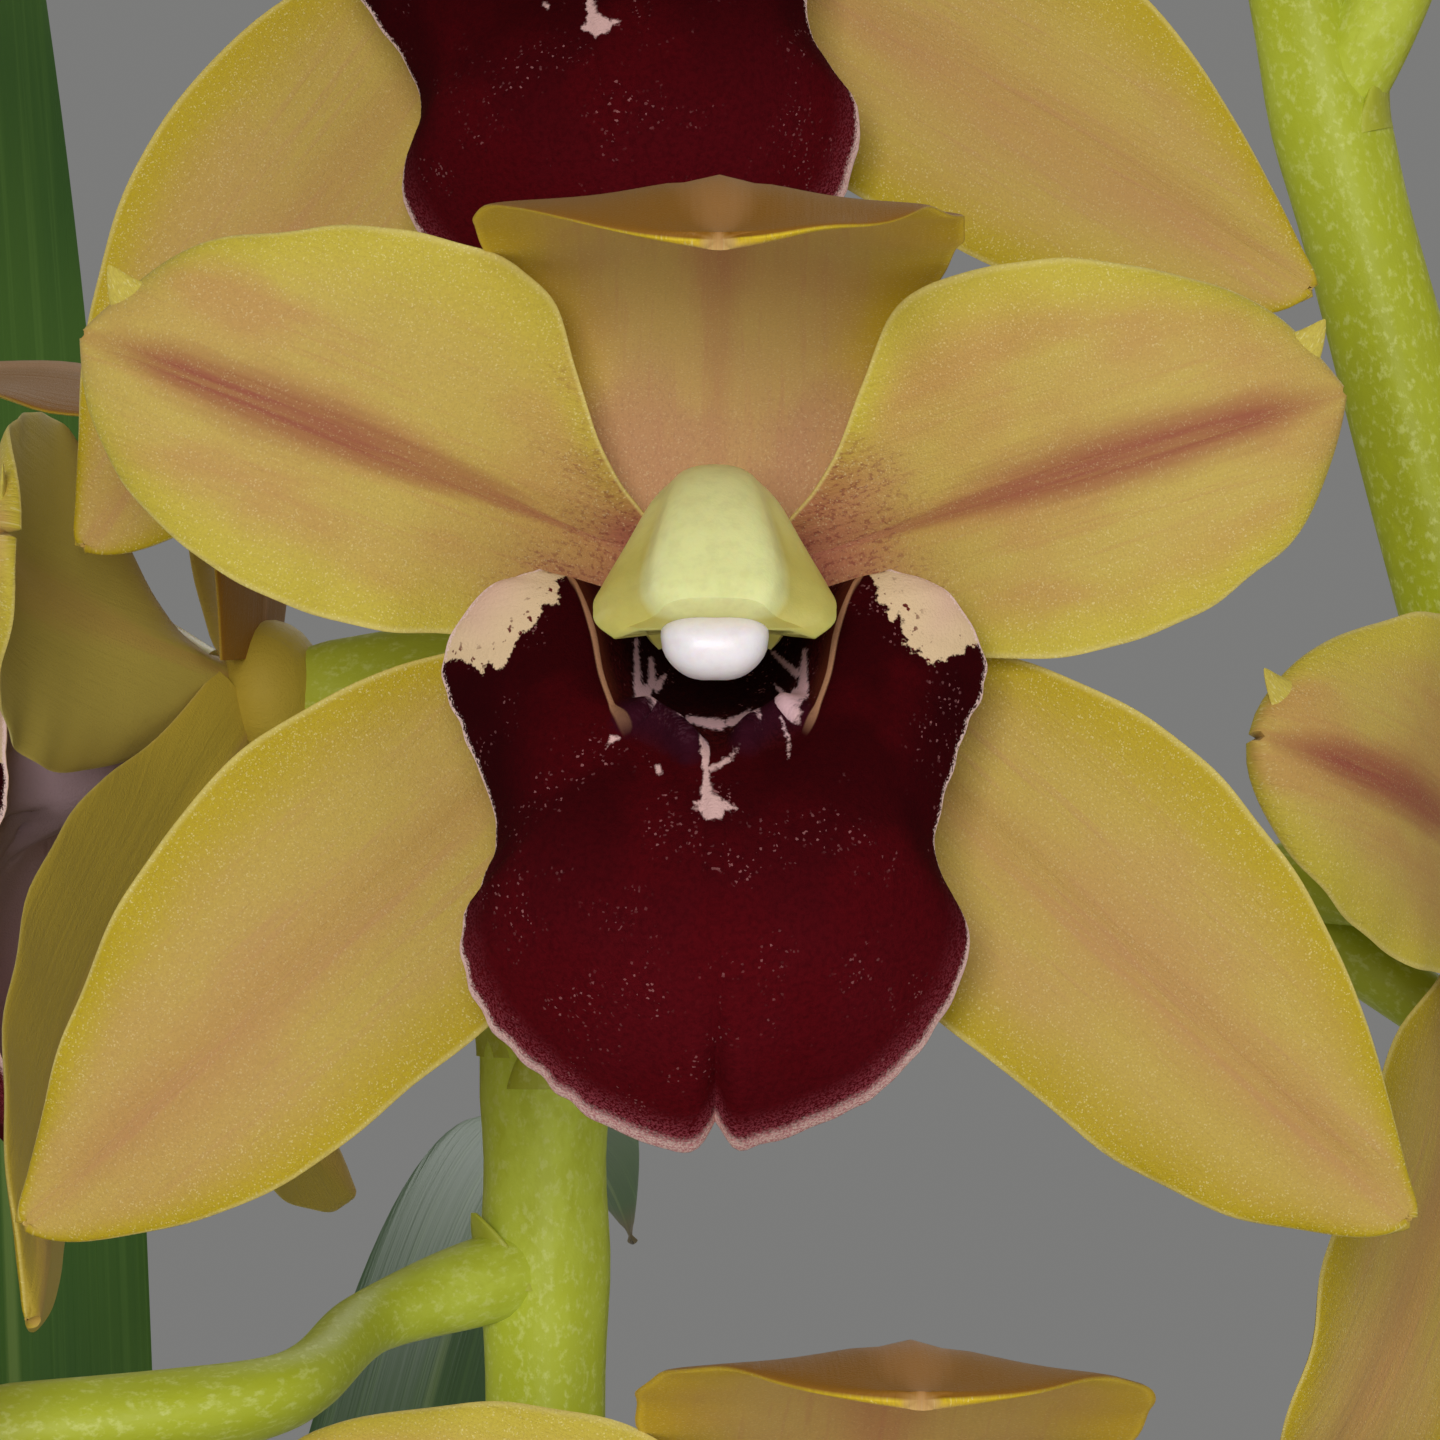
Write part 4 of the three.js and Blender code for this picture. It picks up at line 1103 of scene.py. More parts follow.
@dataclass(frozen=True)
class Blade:
    """A sepal or petal that lies along a spine.

    Attributes:
        angle: Its direction seen from the front, in degrees.
        kind: Which kind it is.
        spine: Share of length to reach along that direction and depth.
        left: Half width on the side anticlockwise of the spine.
        right: Half width on the other side.
        cup: How far its edges stand in front of its middle.
        start: Share where it leaves the bloom's middle.
        length: Its length in mm, for its markings.
        ruffle: Height of its edge's waves.
        roll: How far its edges roll back near the tip.
        vein: Depth of its middle vein, where 1 is a petal's.
        crest: How far the middle of its outer half stands back, in mm.
        thickness: Its thickness in mm.
        seed_shift: How far apart two blooms read the noise of their markings.
    """

    angle: float
    kind: BladeKind
    spine: Knots
    left: HalfWidth
    right: HalfWidth
    cup: Knots
    start: float
    length: float
    ruffle: float
    roll: float
    vein: float = 1.0
    crest: float = 0.0
    thickness: float = 1.0
    seed_shift: float = 7.7

    def patch(self, detail: Detail, seed: int) -> Patch:
        """Cuts the blade.

        The middle follows the spine. A point across it moves sideways by its share of the half width,
        and forwards by the cup times that share squared. The middle vein sinks as a narrow bell, and
        the edge waves by a ripple times the cube of the share.

        Args:
            detail: How finely to cut.
            seed: Draws its ripples.

        Returns:
            The skin, with the marks that its material reads.
        """
        rows, columns = detail.blade
        t = np.linspace(0, 1, rows)
        share = mix(self.start, 1.0, 1 - (1 - t) ** 1.35)[:, None]
        across = edge_places(columns)[None, :]
        turn = np.radians(self.angle)
        ahead = np.array([np.cos(turn), 0.0, np.sin(turn)])
        beside = np.array([-np.sin(turn), 0.0, np.cos(turn)])

        def middle(at: Array) -> Array:
            """Points of the spine."""
            reach, depth = np.moveaxis(self.spine(at), -1, 0)
            return reach[..., None] * ahead + depth[..., None] * np.array([0.0, 1.0, 0.0])

        after, before = np.minimum(share + SLOPE_STEP, 1), np.maximum(share - SLOPE_STEP, 0)
        along = unit(middle(after) - middle(before))
        forward = -np.cross(beside, along)
        wobble = Ripple(seed * 31 + 5, 2.0, 9.0)(share + (across > 0) * 3.1) * ease(0.2, 0.5, share)
        half = np.where(across < 0, self.right(share), self.left(share)) * (1 + 0.014 * wobble)
        place = half * across
        lift = self.cup(share) * across**2
        fade = ease(0.06, 0.2, share) * ease(1.0, 0.9, share)
        vein = bell(place, 0.0, 0.8) * fade * self.vein
        lift = lift - 0.4 * vein + 0.12 * fade * bell(np.abs(place), 1.7, 0.8)
        lift = lift - self.crest * bell(place, 0.0, 5.2) * ease(0.4, 0.62, share) * ease(1.0, 0.86, share)
        side_seed = np.where(across > 0, 2.3, 0.0)
        ruffle = Ripple(seed * 17 + self.kind * 5 + 1, 1.5, 6.0)(share * 1.3 + side_seed)
        lift = lift + self.ruffle * ruffle * np.abs(across) ** 3 * ease(0.15, 0.45, share)
        lift = lift - self.roll * np.abs(across) ** 5 * ease(0.35, 0.75, share)
        middle_grid = middle(share) + place[..., None] * beside + lift[..., None] * forward
        normal = normals_of(middle_grid, forward)
        thick = self.thickness / 2 * (1 - 0.5 * across**2) * closing(across, 12)
        thick = thick + 0.16 * vein * closing(across)
        blade = stacked(across, share, float(seed))
        plan = stacked(place, share * self.length, seed * self.seed_shift + self.angle)
        return leafed(middle_grid, normal, thick, {"blade": blade, "plan": plan}, int(self.kind))

    def tooth(self, seed: int) -> Patch:
        """The small point at a petal's tip, bent up and back: a flattened cone of rings."""
        turn = np.radians(self.angle)
        ahead = np.array([np.cos(turn), 0.0, np.sin(turn)])
        upward = np.array([-np.sin(turn), 0.0, np.cos(turn)]) * np.sign(np.cos(turn))
        reach, depth = self.spine(0.95)
        root = reach * ahead + np.array([0.0, depth + 0.35, 0.0]) + upward * 2.6
        way = unit(ahead * 0.95 + upward * 0.35 + np.array([0.0, 0.3, 0.0]))
        across = unit(upward - way * (upward @ way))
        share = np.linspace(0, 1, 12)[:, None]
        round_ = circle(16)[None, :]
        fat = 1.5 * (1 - share) ** 0.8 + 0.06
        bend = way + across * 0.25 * share[..., None]
        rings = root + bend * (share * 2.9)[..., None] + across * (fat * np.cos(round_))[..., None]
        rings = rings + np.cross(way, across) * (0.26 * fat * np.sin(round_))[..., None]
        blade = np.broadcast_to([0.97, 0.9, float(seed)], rings.shape)
        plan = stacked(fat * np.cos(round_), 38.0 + share, seed * self.seed_shift)
        marks = {"blade": blade, "plan": plan, "side": np.ones(rings.shape)}
        return tube(rings, marks, int(self.kind))


PETAL_SPINE = Knots([
    [0, 0, 2], [0.25, 9.7, -1.5], [0.5, 19.4, -5], [0.75, 29, -6.5], [0.93, 36, -5.4], [1, 38.7, -4.2],
])
SEPAL_SPINE = Knots([[0, 0, 3], [0.25, 13.4, -1], [0.5, 27, -4], [0.75, 40.5, -5], [1, 54.2, -3]])
HOOD_SPINE = Knots([
    [0, -2, 1.8], [0.14, 7.5, 2.6], [0.28, 13.8, 2.2], [0.42, 18.3, -1.2], [0.56, 20.1, -8],
    [0.7, 20.5, -16], [0.85, 20.1, -24], [1, 17.9, -31],
])
PETAL_CUP = Knots([[0, 1.5], [0.3, 2.2], [0.5, 1.4], [0.75, 0.2], [1, -0.8]])
SEPAL_CUP = Knots([[0, 1.5], [0.5, 1.0], [1, 0.5]])
HOOD_CUP = Knots([[0, 0.4], [0.28, 0.6], [0.42, 1.4], [0.56, 0.9], [0.68, 0.2], [0.8, 0], [0.9, 0], [1, 0]])
PETAL_UPPER = HalfWidth([
    [0, 2.2], [0.16, 2.4], [0.22, 3.9], [0.274, 5.9], [0.33, 8.7], [0.39, 11.7], [0.45, 12.6],
    [0.55, 12.7], [0.65, 12], [0.76, 10.2], [0.83, 8.8], [0.9, 7.2], [0.95, 5.4], [0.98, 3.4], [1, 0.3],
])
PETAL_LOWER = HalfWidth([
    [0, 2.6], [0.15, 5], [0.36, 8.4], [0.45, 9.5], [0.54, 10.1], [0.63, 10.1], [0.72, 9.5], [0.81, 8.3],
    [0.87, 7.2], [0.925, 5.6], [0.97, 3.7], [1, 0.3],
])
SEPAL_OUTER = HalfWidth([
    [0, 3.5], [0.26, 7.4], [0.32, 9.1], [0.38, 10.3], [0.45, 11.1], [0.53, 11.4], [0.6, 10.9],
    [0.67, 10.1], [0.75, 8.5], [0.82, 6.7], [0.9, 4.1], [0.96, 2], [1, 0.3],
])
SEPAL_INNER = HalfWidth([
    [0, 3], [0.19, 6], [0.34, 8.8], [0.49, 9.8], [0.6, 9.4], [0.7, 9.1], [0.78, 8.3], [0.85, 6.9],
    [0.92, 4.8], [0.97, 2.9], [1, 0.4],
])
HOOD_HALF = HalfWidth([
    [0, 5.5], [0.15, 9.5], [0.3, 11], [0.45, 12.6], [0.6, 13.9], [0.72, 13.4], [0.84, 11.0], [0.93, 7.4],
    [1, 1.2],
])

PETAL = Blade(17.0, BladeKind.PETAL, PETAL_SPINE, PETAL_UPPER, PETAL_LOWER, PETAL_CUP,
              start=0.07, length=39.0, ruffle=0.35, roll=0.5)
SEPAL = Blade(317.6, BladeKind.SEPAL, SEPAL_SPINE, SEPAL_OUTER, SEPAL_INNER, SEPAL_CUP,
              start=0.055, length=54.0, ruffle=0.3, roll=0.3)
HOOD = Blade(89.3, BladeKind.HOOD, HOOD_SPINE, HOOD_HALF, HOOD_HALF, HOOD_CUP,
             start=0.06, length=55.0, ruffle=0.35, roll=0.0, vein=0.35, crest=1.1)
BLADES = [
    replace(PETAL, angle=158.5, left=PETAL_LOWER, right=PETAL_UPPER),
    replace(PETAL, spine=PETAL_SPINE.shortened(0.968)),
    replace(SEPAL, angle=222.8, left=SEPAL_INNER, right=SEPAL_OUTER),
    SEPAL,
    HOOD,
]


def to_segments(points: Array, strokes: Table) -> Array:
    """How deep points lie in tapered strokes.

    Args:
        points: Places x, z on the last axis.
        strokes: Each [x0, z0, radius0, x1, z1, radius1].

    Returns:
        The greatest radius minus distance over the strokes: above 0 inside one.
    """
    best = np.full(points.shape[:-1], -FAR)
    for x0, z0, r0, x1, z1, r1 in strokes:
        start, span = np.array([x0, z0]), np.array([x1 - x0, z1 - z0])
        share = np.clip((points - start) @ span / max(span @ span, 1e-9), 0, 1)
        gap = np.linalg.norm(points - start - share[..., None] * span, axis=-1)
        best = np.maximum(best, mix(r0, r1, share) - gap)
    return best


def in_outline(points: Array, outline: Table) -> Array:
    """How deep points lie in a closed outline.

    Args:
        points: Places x, z on the last axis.
        outline: Corners in order.

    Returns:
        Distance to the outline, negative outside it. A point is inside if a line from it crosses the
        outline an odd number of times.
    """
    corners = np.asarray(outline, float)
    ends = np.roll(corners, -1, axis=0)
    inside = np.zeros(points.shape[:-1], bool)
    gap = np.full(points.shape[:-1], FAR)
    x, z = points[..., 0], points[..., 1]
    for (x0, z0), (x1, z1) in zip(corners, ends):
        crosses = (z0 > z) != (z1 > z)
        at = x0 + (z - z0) * (x1 - x0) / (z1 - z0 if z1 != z0 else 1e-9)
        inside ^= crosses & (x < at)
        gap = np.minimum(gap, -to_segments(points, [[x0, z0, 0, x1, z1, 0]]))
    return np.where(inside, gap, -gap)


@dataclass(frozen=True)
class Lip:
    """The lip, one sheet round its throat.

    A place round it runs from 0, at the peak of a side lobe, to 1, at the notch of the midlobe. Each
    knot is [place round, x, y, z] on the right half, and the left is its mirror.
    """

    margin: Knots = Knots([
        [0, 9.9, -11, 0.7], [0.1, 13.2, -11, -0.7], [0.2, 15.4, -10.5, -4.7], [0.33, 13.7, -11.8, -9.4],
        [0.47, 12.5, -13.2, -15.3], [0.6, 14.2, -12.2, -20.8], [0.68, 13, -11.6, -24.5],
        [0.77, 10.1, -11.6, -28], [0.88, 6, -11.8, -30.7], [0.93, 2.9, -12.1, -31.8],
        [0.97, 1.15, -12.2, -31.9], [1, 0, -12.6, -30.4],
    ])
    mouth: Knots = Knots([
        [0, 8.4, -10.6, 0.2], [0.22, 7, -13.2, -3], [0.34, 6.6, -14, -5.3], [0.44, 5.9, -14.6, -7.2],
        [0.52, 5.2, -15, -8.6], [0.62, 4, -15.3, -9.6], [1, 0, -15.6, -10.1],
    ])
    base: Knots = Knots([
        [0, 4.2, -1.8, -1.0], [0.2, 4, -1.8, -2], [0.4, 3.4, -1.8, -3], [0.6, 2.6, -1.8, -3.6],
        [1, 0, -1.8, -3.9],
    ])
    bulge: Knots = Knots([[0, 0], [0.1, 0.6], [0.3, 1.5], [0.5, 2], [0.7, 4.5], [1, 6]])
    thickness: float = 0.9
    ridge_height: float = 1.7
    fold_softness: float = 0.05

    cream_left: ClassVar = [
        [-8.3, 0.4], [-8.86, -0.37], [-8.86, -1.45], [-9.65, -1.79], [-9.94, -2.97], [-10.95, -3.2],
        [-11.23, -4.27], [-11.91, -5.12], [-12.53, -4.72], [-12.87, -5.34], [-13.61, -4.72],
        [-14.62, -4.5], [-15.92, -4.72], [-20, -4.7], [-20, 6], [-8, 6],
    ]
    cream_right: ClassVar = [
        [8.6, 0.4], [8.99, -0.2], [9.1, -1.33], [9.55, -1.67], [9.72, -2.46], [10.4, -1.95], [10.4, -3.76],
        [11.02, -4.05], [11.93, -4.78], [12.77, -4.44], [13.51, -4.21], [14.3, -3.82], [14.75, -3.65],
        [20, -3.4], [20, 6], [8.2, 6],
    ]
    marks: ClassVar = [
        [-0.85, -9.9, 0.32, -0.4, -11.0, 0.2], [-0.4, -11.0, 0.22, -0.4, -12.2, 0.38],
        [-0.35, -12.4, 0.42, -0.15, -13.1, 0.5], [-0.2, -12.9, 0.45, -1.1, -12.8, 0.2],
        [-0.1, -12.8, 0.42, 1.15, -12.9, 0.12], [-0.1, -10.8, 0.22, 1.4, -10.0, 0.08],
        [-6.1, -9.4, 0.08, -5.7, -9.0, 0.24], [-2.6, -8.5, 0.12, -2.1, -9.2, 0.25],
        [-3.2, -10.8, 0.2, -3.1, -11.0, 0.18], [4.3, -8.7, 0.1, 4.2, -10.2, 0.08],
        [2.9, -8.6, 0.16, 2.3, -9.3, 0.06], [-4.5, -7.9, 0.55, -4.35, -6.6, 0.55],
        [-4.7, -6.3, 0.28, -4.9, -3.4, 0.14], [-3.8, -6.2, 0.34, -4.0, -4.6, 0.16],
        [-3.5, -6.3, 0.32, -3.0, -5.6, 0.1], [4.9, -7.9, 0.5, 5.1, -6.7, 0.5],
        [5.3, -6.4, 0.35, 5.5, -4.0, 0.14], [5.0, -5.4, 0.26, 3.6, -4.2, 0.14],
        [4.4, -6.9, 0.25, 3.6, -6.2, 0.1], [-1.5, -8.2, 0.25, 0.3, -8.5, 0.35],
        [0.9, -8.4, 0.3, 2.0, -7.9, 0.25],
    ]
    ridges: ClassVar = [
        [-5.0, -8.0, 0.75, -3.35, -8.7, 0.85], [-3.35, -8.7, 0.85, -1.4, -9.9, 0.55],
        [4.8, -7.7, 0.75, 3.4, -8.4, 0.85], [3.4, -8.4, 0.85, 1.7, -9.5, 0.55],
    ]

    def raw(self, place: Array, along: Array, side: Array) -> Array:
        """Points of the middle surface.

        Inside the throat a point is mixed from mouth to base, and outside from mouth to margin, where
        it also bulges towards the viewer by 4s(1 - s) times the bulge.

        Args:
            place: Place round the lip, 0 to 1.
            along: -1 at the base, 0 at the mouth, 1 at the margin.
            side: 1 on the right and -1 on the left.

        Returns:
            Points in the bloom's frame.
        """
        share = np.abs(along)[..., None]
        far = np.where(along[..., None] < 0, self.base(place), self.margin(place))
        out = mix(self.mouth(place), far, share)
        out[..., 1] -= np.where(along > 0, self.bulge(place) * 4 * share[..., 0] * (1 - share[..., 0]), 0)
        out[..., 0] *= side
        return out

    def patch(self, detail: Detail, seed: int) -> Patch:
        """Cuts the lip.

        Three readings a little apart are averaged, which rounds the fold at the mouth. The ridges stand
        out as bells of the distance to their strokes, and the margin waves by a ripple.

        Args:
            detail: How finely to cut.
            seed: Draws its ripples.

        Returns:
            The skin, with the marks that its material reads.
        """
        rows, columns = detail.lip
        w = np.linspace(0, 2, 2 * rows + 1)[:, None]
        inner = -np.linspace(1, 0, columns // 3, endpoint=False) ** 1.6
        outer = (1 - np.cos(np.linspace(0, np.pi, columns - columns // 3))) / 2
        along = np.concatenate([inner, outer])[None, :]
        w, along = np.broadcast_arrays(w, along)
        place = np.minimum(w, 2 - w)
        side = np.where(w < 1, 1.0, -1.0)
        soft = self.fold_softness * closing(along, 2)
        middle = sum(self.raw(place, along + shift * soft, side) for shift in (-1, 0, 1)) / 3
        normal = normals_of(middle)
        normal *= -np.sign(np.sum(normal[rows, -20:, 1]))
        flat = middle[..., [0, 2]]
        ridge = to_segments(flat, self.ridges)
        mouth = ease(-0.45, -0.1, along) * ease(0.35, 0.1, along)
        rise = self.ridge_height * np.exp(-(np.minimum(ridge - 0.75, 0) / 0.7) ** 2) * mouth
        beyond = np.maximum(along, 0)
        wave = Ripple(seed * 13 + 3, 2.5, 7.0)(w)
        rise = rise + 0.5 * wave * beyond**4 * ease(0.05, 0.3, place)
        rise = rise - 0.35 * bell(flat[..., 0], 0, 1.1) * ease(0.15, 0.5, along) * ease(1.0, 0.85, along)
        rise = rise + 0.12 * Ripple(seed * 7 + 2, 9.0, 22.0)(w) * beyond**2
        middle = middle + rise[..., None] * normal
        normal = unit(normals_of(middle, normal))
        thick = self.thickness / 2 * (1 - 0.45 * beyond**2) * closing(along, 14) * closing(w - 1, 60)
        reach = np.linalg.norm(self.margin(place) - self.mouth(place), axis=-1)
        rim = np.where(along > 0, (1 - along) * reach, 9.0)
        ends = reach * 0 + place * 30.0
        rim = np.minimum(rim, np.where(along > 0, ends + 0.3, 9.0))
        inside = ease(0.02, -0.1, along)
        cream = np.maximum(in_outline(flat, self.cream_left), in_outline(flat, self.cream_right))
        cream = np.where(along > -0.1, cream, -3.0)
        dyes = stacked(cream, to_segments(flat, self.marks), ridge - 0.1 - 2 * (1 - mouth))
        plan = middle + np.array([seed * 9.1, 0.0, 0.0])
        inward = np.linalg.norm(self.base(place) - self.mouth(place), axis=-1)
        depth = along * np.where(along < 0, inward, reach)
        marks = {"plan": plan, "rim": stacked(rim, place, inside), "dye": dyes,
                 "fold": stacked(depth, 0.0, 0.0)}
        return leafed(middle, normal, thick, marks)


@dataclass(frozen=True)
class Column:
    """The column, which arches forward over the lip, and its anther cap.

    Each knot is [share, depth, height, half width, rise above its spine, drop below it].
    """

    knots: Knots = Knots([
        [0, -1.8, -0.2, 3.2, 3.2, 2], [0.3, -7.5, 2.2, 3.7, 3.9, 2.4], [0.55, -13, 2.5, 4.6, 3.9, 2.4],
        [0.78, -17.2, 0.2, 6.3, 3.6, 1.8], [0.9, -18.8, -1.2, 6.75, 3.2, 1.3],
        [0.97, -19.8, -2.3, 6.4, 3.0, 1.0], [1, -20.3, -2.9, 5.6, 2.8, 0.8],
    ])
    winged: Knots = Knots([
        [0, 1], [0.25, 0.98], [0.4, 0.9], [0.5, 0.74], [0.57, 0.5], [0.66, 0.34], [0.8, 0.18],
        [0.93, -0.02], [1, -0.2],
    ])
    cap_centre: Triple = (0.0, -20.2, -3.6)
    cap_half: Triple = (3.05, 2.2, 2.05)

    def patch(self, detail: Detail, seed: int) -> Patch:
        """Cuts the column.

        Near its foot the section is round. Towards the tip the top follows the winged profile, and the
        underside follows it at the wing's thickness.

        Args:
            detail: How finely to cut.
            seed: Shifts the noise of its finish.

        Returns:
            The skin, with the marks that its material reads.
        """
        rows, sides = detail.column
        share = (1 - (1 - np.linspace(0, 1, rows)) ** 1.3)[:, None]
        depth, height, half, rise, drop = np.moveaxis(self.knots(share), -1, 0)
        after, before = np.minimum(share + SLOPE_STEP, 1), np.maximum(share - SLOPE_STEP, 0)
        ahead = self.knots(after) - self.knots(before)
        along = unit(stacked(0 * depth, ahead[..., 0], ahead[..., 1]))
        up = -np.cross(np.array([1.0, 0, 0]), along)
        q = edge_places(sides // 2 + 1)[None, :]
        wing = ease(0.35, 0.8, share)
        round_top = closing(q, 2)
        top = rise * mix(round_top, self.winged(np.abs(q)), wing)
        thick = mix(rise + drop, 0.7, ease(0.5, 0.72, np.abs(q))) * closing(q, 10)
        under = mix(-drop * round_top, top - thick, wing)
        spine = stacked(0 * depth, depth, height)

        def face(lift: Array) -> Array:
            """Points at a lift over the spine."""
            sideways = (half * q)[..., None] * np.array([1.0, 0, 0])
            return spine + sideways + lift[..., None] * up

        rings = np.concatenate([face(top), face(under)[:, -2:0:-1]], axis=1)
        wide = np.broadcast_to(np.abs(q), top.shape)
        # Painted shade: a dark line in the crease between dome and wings.
        crease = 0.7 * bell(wide, 0.57, 0.03) * ease(0.45, 0.75, share)
        tone = stacked(ease(0.54, 0.62, wide) * ease(0.4, 0.8, share), crease, 0 * wide)
        # Painted shade: the whole underside gets the third number, 1.
        below = tone[:, -2:0:-1].copy()
        below[..., 2] = 1.0
        plan = rings + np.array([seed * 5.3, 0, 0])
        return tube(rings, {"plan": plan, "tone": np.concatenate([tone, below], axis=1)})

    def cap(self, detail: Detail, seed: int) -> Patch:
        """Cuts the anther cap: a rounded box that narrows below, with a shallow crease down its face."""
        sides = detail.column[1] // 2
        turn = np.linspace(0, np.pi, sides // 2 + 2)[1:-1, None]
        round_ = circle(sides)[None, :]
        x, y = np.sin(turn) * np.cos(round_), np.sin(turn) * np.sin(round_)
        z = np.cos(turn) + 0 * x
        square = np.abs(z) ** 0.72 * np.sign(z)
        x = np.sign(x) * np.abs(x) ** 0.66 * (1 - 0.24 * ease(0.3, -1.0, z))
        y = y * (1 - 0.05 * bell(x, 0, 0.2) * (y < 0)) + 0.5 * ease(0.0, 1.0, z)
        points = stacked(x, y, square) * self.cap_half + self.cap_centre
        # The third number is painted shade on the cap's top, which sits under the column's tip.
        tone = stacked(ease(0.1, 0.8, z), 0.0, ease(0.75, 1.0, z))
        return tube(points, {"plan": points + seed * 3.0, "tone": tone})


@dataclass(frozen=True)
class Place:
    """Where a bloom stands.

    Attributes:
        at: Its place from the main bloom, in mm.
        turn: Degrees that it faces to the right.
        nod: Degrees that it looks down.
        roll: Degrees that it leans, seen from its front.
        size: Its scale.
        joins: Height from the main bloom at which its stalk leaves the stem.
        rise: How far its stalk climbs at first, as a share of its reach.
    """

    at: Triple
    turn: float
    nod: float
    roll: float
    size: float
    joins: float
    rise: float = 0.12

    @property
    def matrix(self) -> Array:
        """Its turn: about z, then its own x, then its own y."""
        z, x, y = np.radians([self.turn, self.nod, -self.roll])
        about_z = np.array([[np.cos(z), -np.sin(z), 0], [np.sin(z), np.cos(z), 0], [0, 0, 1]])
        about_x = np.array([[1, 0, 0], [0, np.cos(x), -np.sin(x)], [0, np.sin(x), np.cos(x)]])
        about_y = np.array([[np.cos(y), 0, np.sin(y)], [0, 1, 0], [-np.sin(y), 0, np.cos(y)]])
        return about_z @ about_x @ about_y

    @property
    def point(self) -> Array:
        """Its origin in the row frame, in mm."""
        return MAIN_BLOOM + np.array(self.at)


MAIN_BLOOM = np.array([10.0, -40.0, 480.0])


@dataclass
class Bloom:
    """One open bloom in four pieces: sepals and petals, lip, column and anther cap.

    Its number is also the seed of its ripples. The hub is the knob behind the column.
    """

    number: int
    place: Place
    detail: Detail
    finishes: dict[str, list[Material]]
    hub_depth: float = 3.2
    hub_half: float = 3.4
    hub_radius: float = 4.6

    def hub(self) -> Patch:
        """The knob that joins the blades behind the column."""
        turn = np.linspace(0, np.pi, 14)[1:-1, None]
        round_ = circle(24)[None, :]
        x = self.hub_radius * np.sin(turn) * np.cos(round_)
        z = self.hub_radius * np.sin(turn) * np.sin(round_)
        y = self.hub_depth - self.hub_half * np.cos(turn) + 0 * x
        rings = stacked(x, y, z)
        blade = np.broadcast_to([0.7, 0.1, 0.0], rings.shape)
        return tube(rings, {"blade": blade, "plan": rings, "side": 0 * rings}, int(BladeKind.SEPAL))

    def build(self) -> None:
        """Makes the four pieces."""
        matrix = self.place.matrix * self.place.size
        column = Column()
        cuts = {
            "tepals": [*(blade.patch(self.detail, self.number) for blade in BLADES), self.hub(),
                       *(blade.tooth(self.number) for blade in BLADES[:2])],
            "lip": [Lip().patch(self.detail, self.number)],
            "column": [column.patch(self.detail, self.number)],
            "cap": [column.cap(self.detail, self.number)],
        }
        slots = {"tepals": "tepal", "lip": "lip", "column": "column", "cap": "anther_cap"}
        for part, patches in cuts.items():
            node = f"bloom_{self.number:02d}_{part}"
            piece = Piece(f"{node}_skin", self.finishes[part])
            piece.add(*(patch.moved(matrix, self.place.point) for patch in patches))
            piece.build([node], slots[part])


# Flower stems


A_BLOOMS = [
    Place((0, 0, 0), 0, 0, 0, 1, -30),
    Place((-8.2, 22, 44.8), -3, 0, 11.5, 0.955, 12),
    Place((-31.5, 45, -6), -101, 2, -2, 0.98, -28),
    Place((8.9, -12, -68.3), 3, -12, -1, 1.03, -100),
    Place((-51, 20, -52), -76, 6, 5, 1, -43, -0.01),
    Place((-52, 28, 78), -62, 2, 4, 0.96, 48),
    Place((18, 6, 97), 14, -2, -6, 0.94, 66),
    Place((-22, 22, 142), -16, -5, 3, 0.88, 106),
]
B_BLOOMS = [
    Place((52, 46, -19), 52, 0, 6, 0.98, -46),
    Place((86, 84, 6), 112, 3, 3, 0.98, -22),
    Place((74, 44, 66), 58, 0, -3, 0.96, 32),
    Place((66, 46, 138), 46, -6, -2, 0.88, 100),
]
A_BUDS = [(132, 200), (148, -80), (162, 40)]
B_BUDS = [(128, 120), (150, 20), (166, 75)]
A_PATH = [
    [-2, 34, -336], [-6, 42, -260], [-10.4, 49, -160], [-11.1, 50, -60], [-11.1, 50, 0], [-9.6, 49, 60],
    [-8, 44, 120], [-6, 37, 178],
]
B_PATH = [
    [24, 44, -336], [44, 50, -250], [62, 56, -150], [65, 59, -80], [54, 60, -20], [45.6, 60, 13],
    [38.8, 60, 40], [31, 58, 90], [26, 53, 140], [24, 47, 180],
]


def swept(path: Path, radius: Callable[[Array], Array], rows: int, sides: int,
          stalk: Callable[[Array, Array], Array],
          ridges: Callable[[Array, Array], Array] | None = None) -> Patch:
    """A stem along a path.

    A first sideways direction is carried along the path, and kept square to it.

    Args:
        path: The path.
        radius: Radius at each share of it.
        rows: Rings.
        sides: Points in a ring.
        stalk: The material's three numbers at each share and turn.
        ridges: Factor on the radius at each share and turn.

    Returns:
        The skin, with the marks "plan" and "stalk".
    """
    share = np.linspace(0, 1, rows)
    centre, along = path(share), path.tangent(share)
    out = np.empty_like(along)
    carried = np.cross(along[0], [0.31, 0.95, 0.05])
    for i, ahead in enumerate(along):
        carried = carried - ahead * (carried @ ahead)
        carried = carried / np.linalg.norm(carried)
        out[i] = carried
    turn = circle(sides)[None, :]
    reach = radius(share)[:, None] * (ridges(share[:, None], turn) if ridges else 1.0 + 0 * turn)
    round_ = around_axis(out[:, None, :], along[:, None, :], turn[..., None])
    rings = centre[:, None, :] + round_ * reach[..., None]
    length = np.broadcast_to((share * path.length)[:, None], reach.shape)
    plan = stacked(reach * np.cos(turn), reach * np.sin(turn), length)
    return tube(rings, {"plan": plan, "stalk": stalk(share[:, None] + 0 * turn, turn + 0 * reach)})


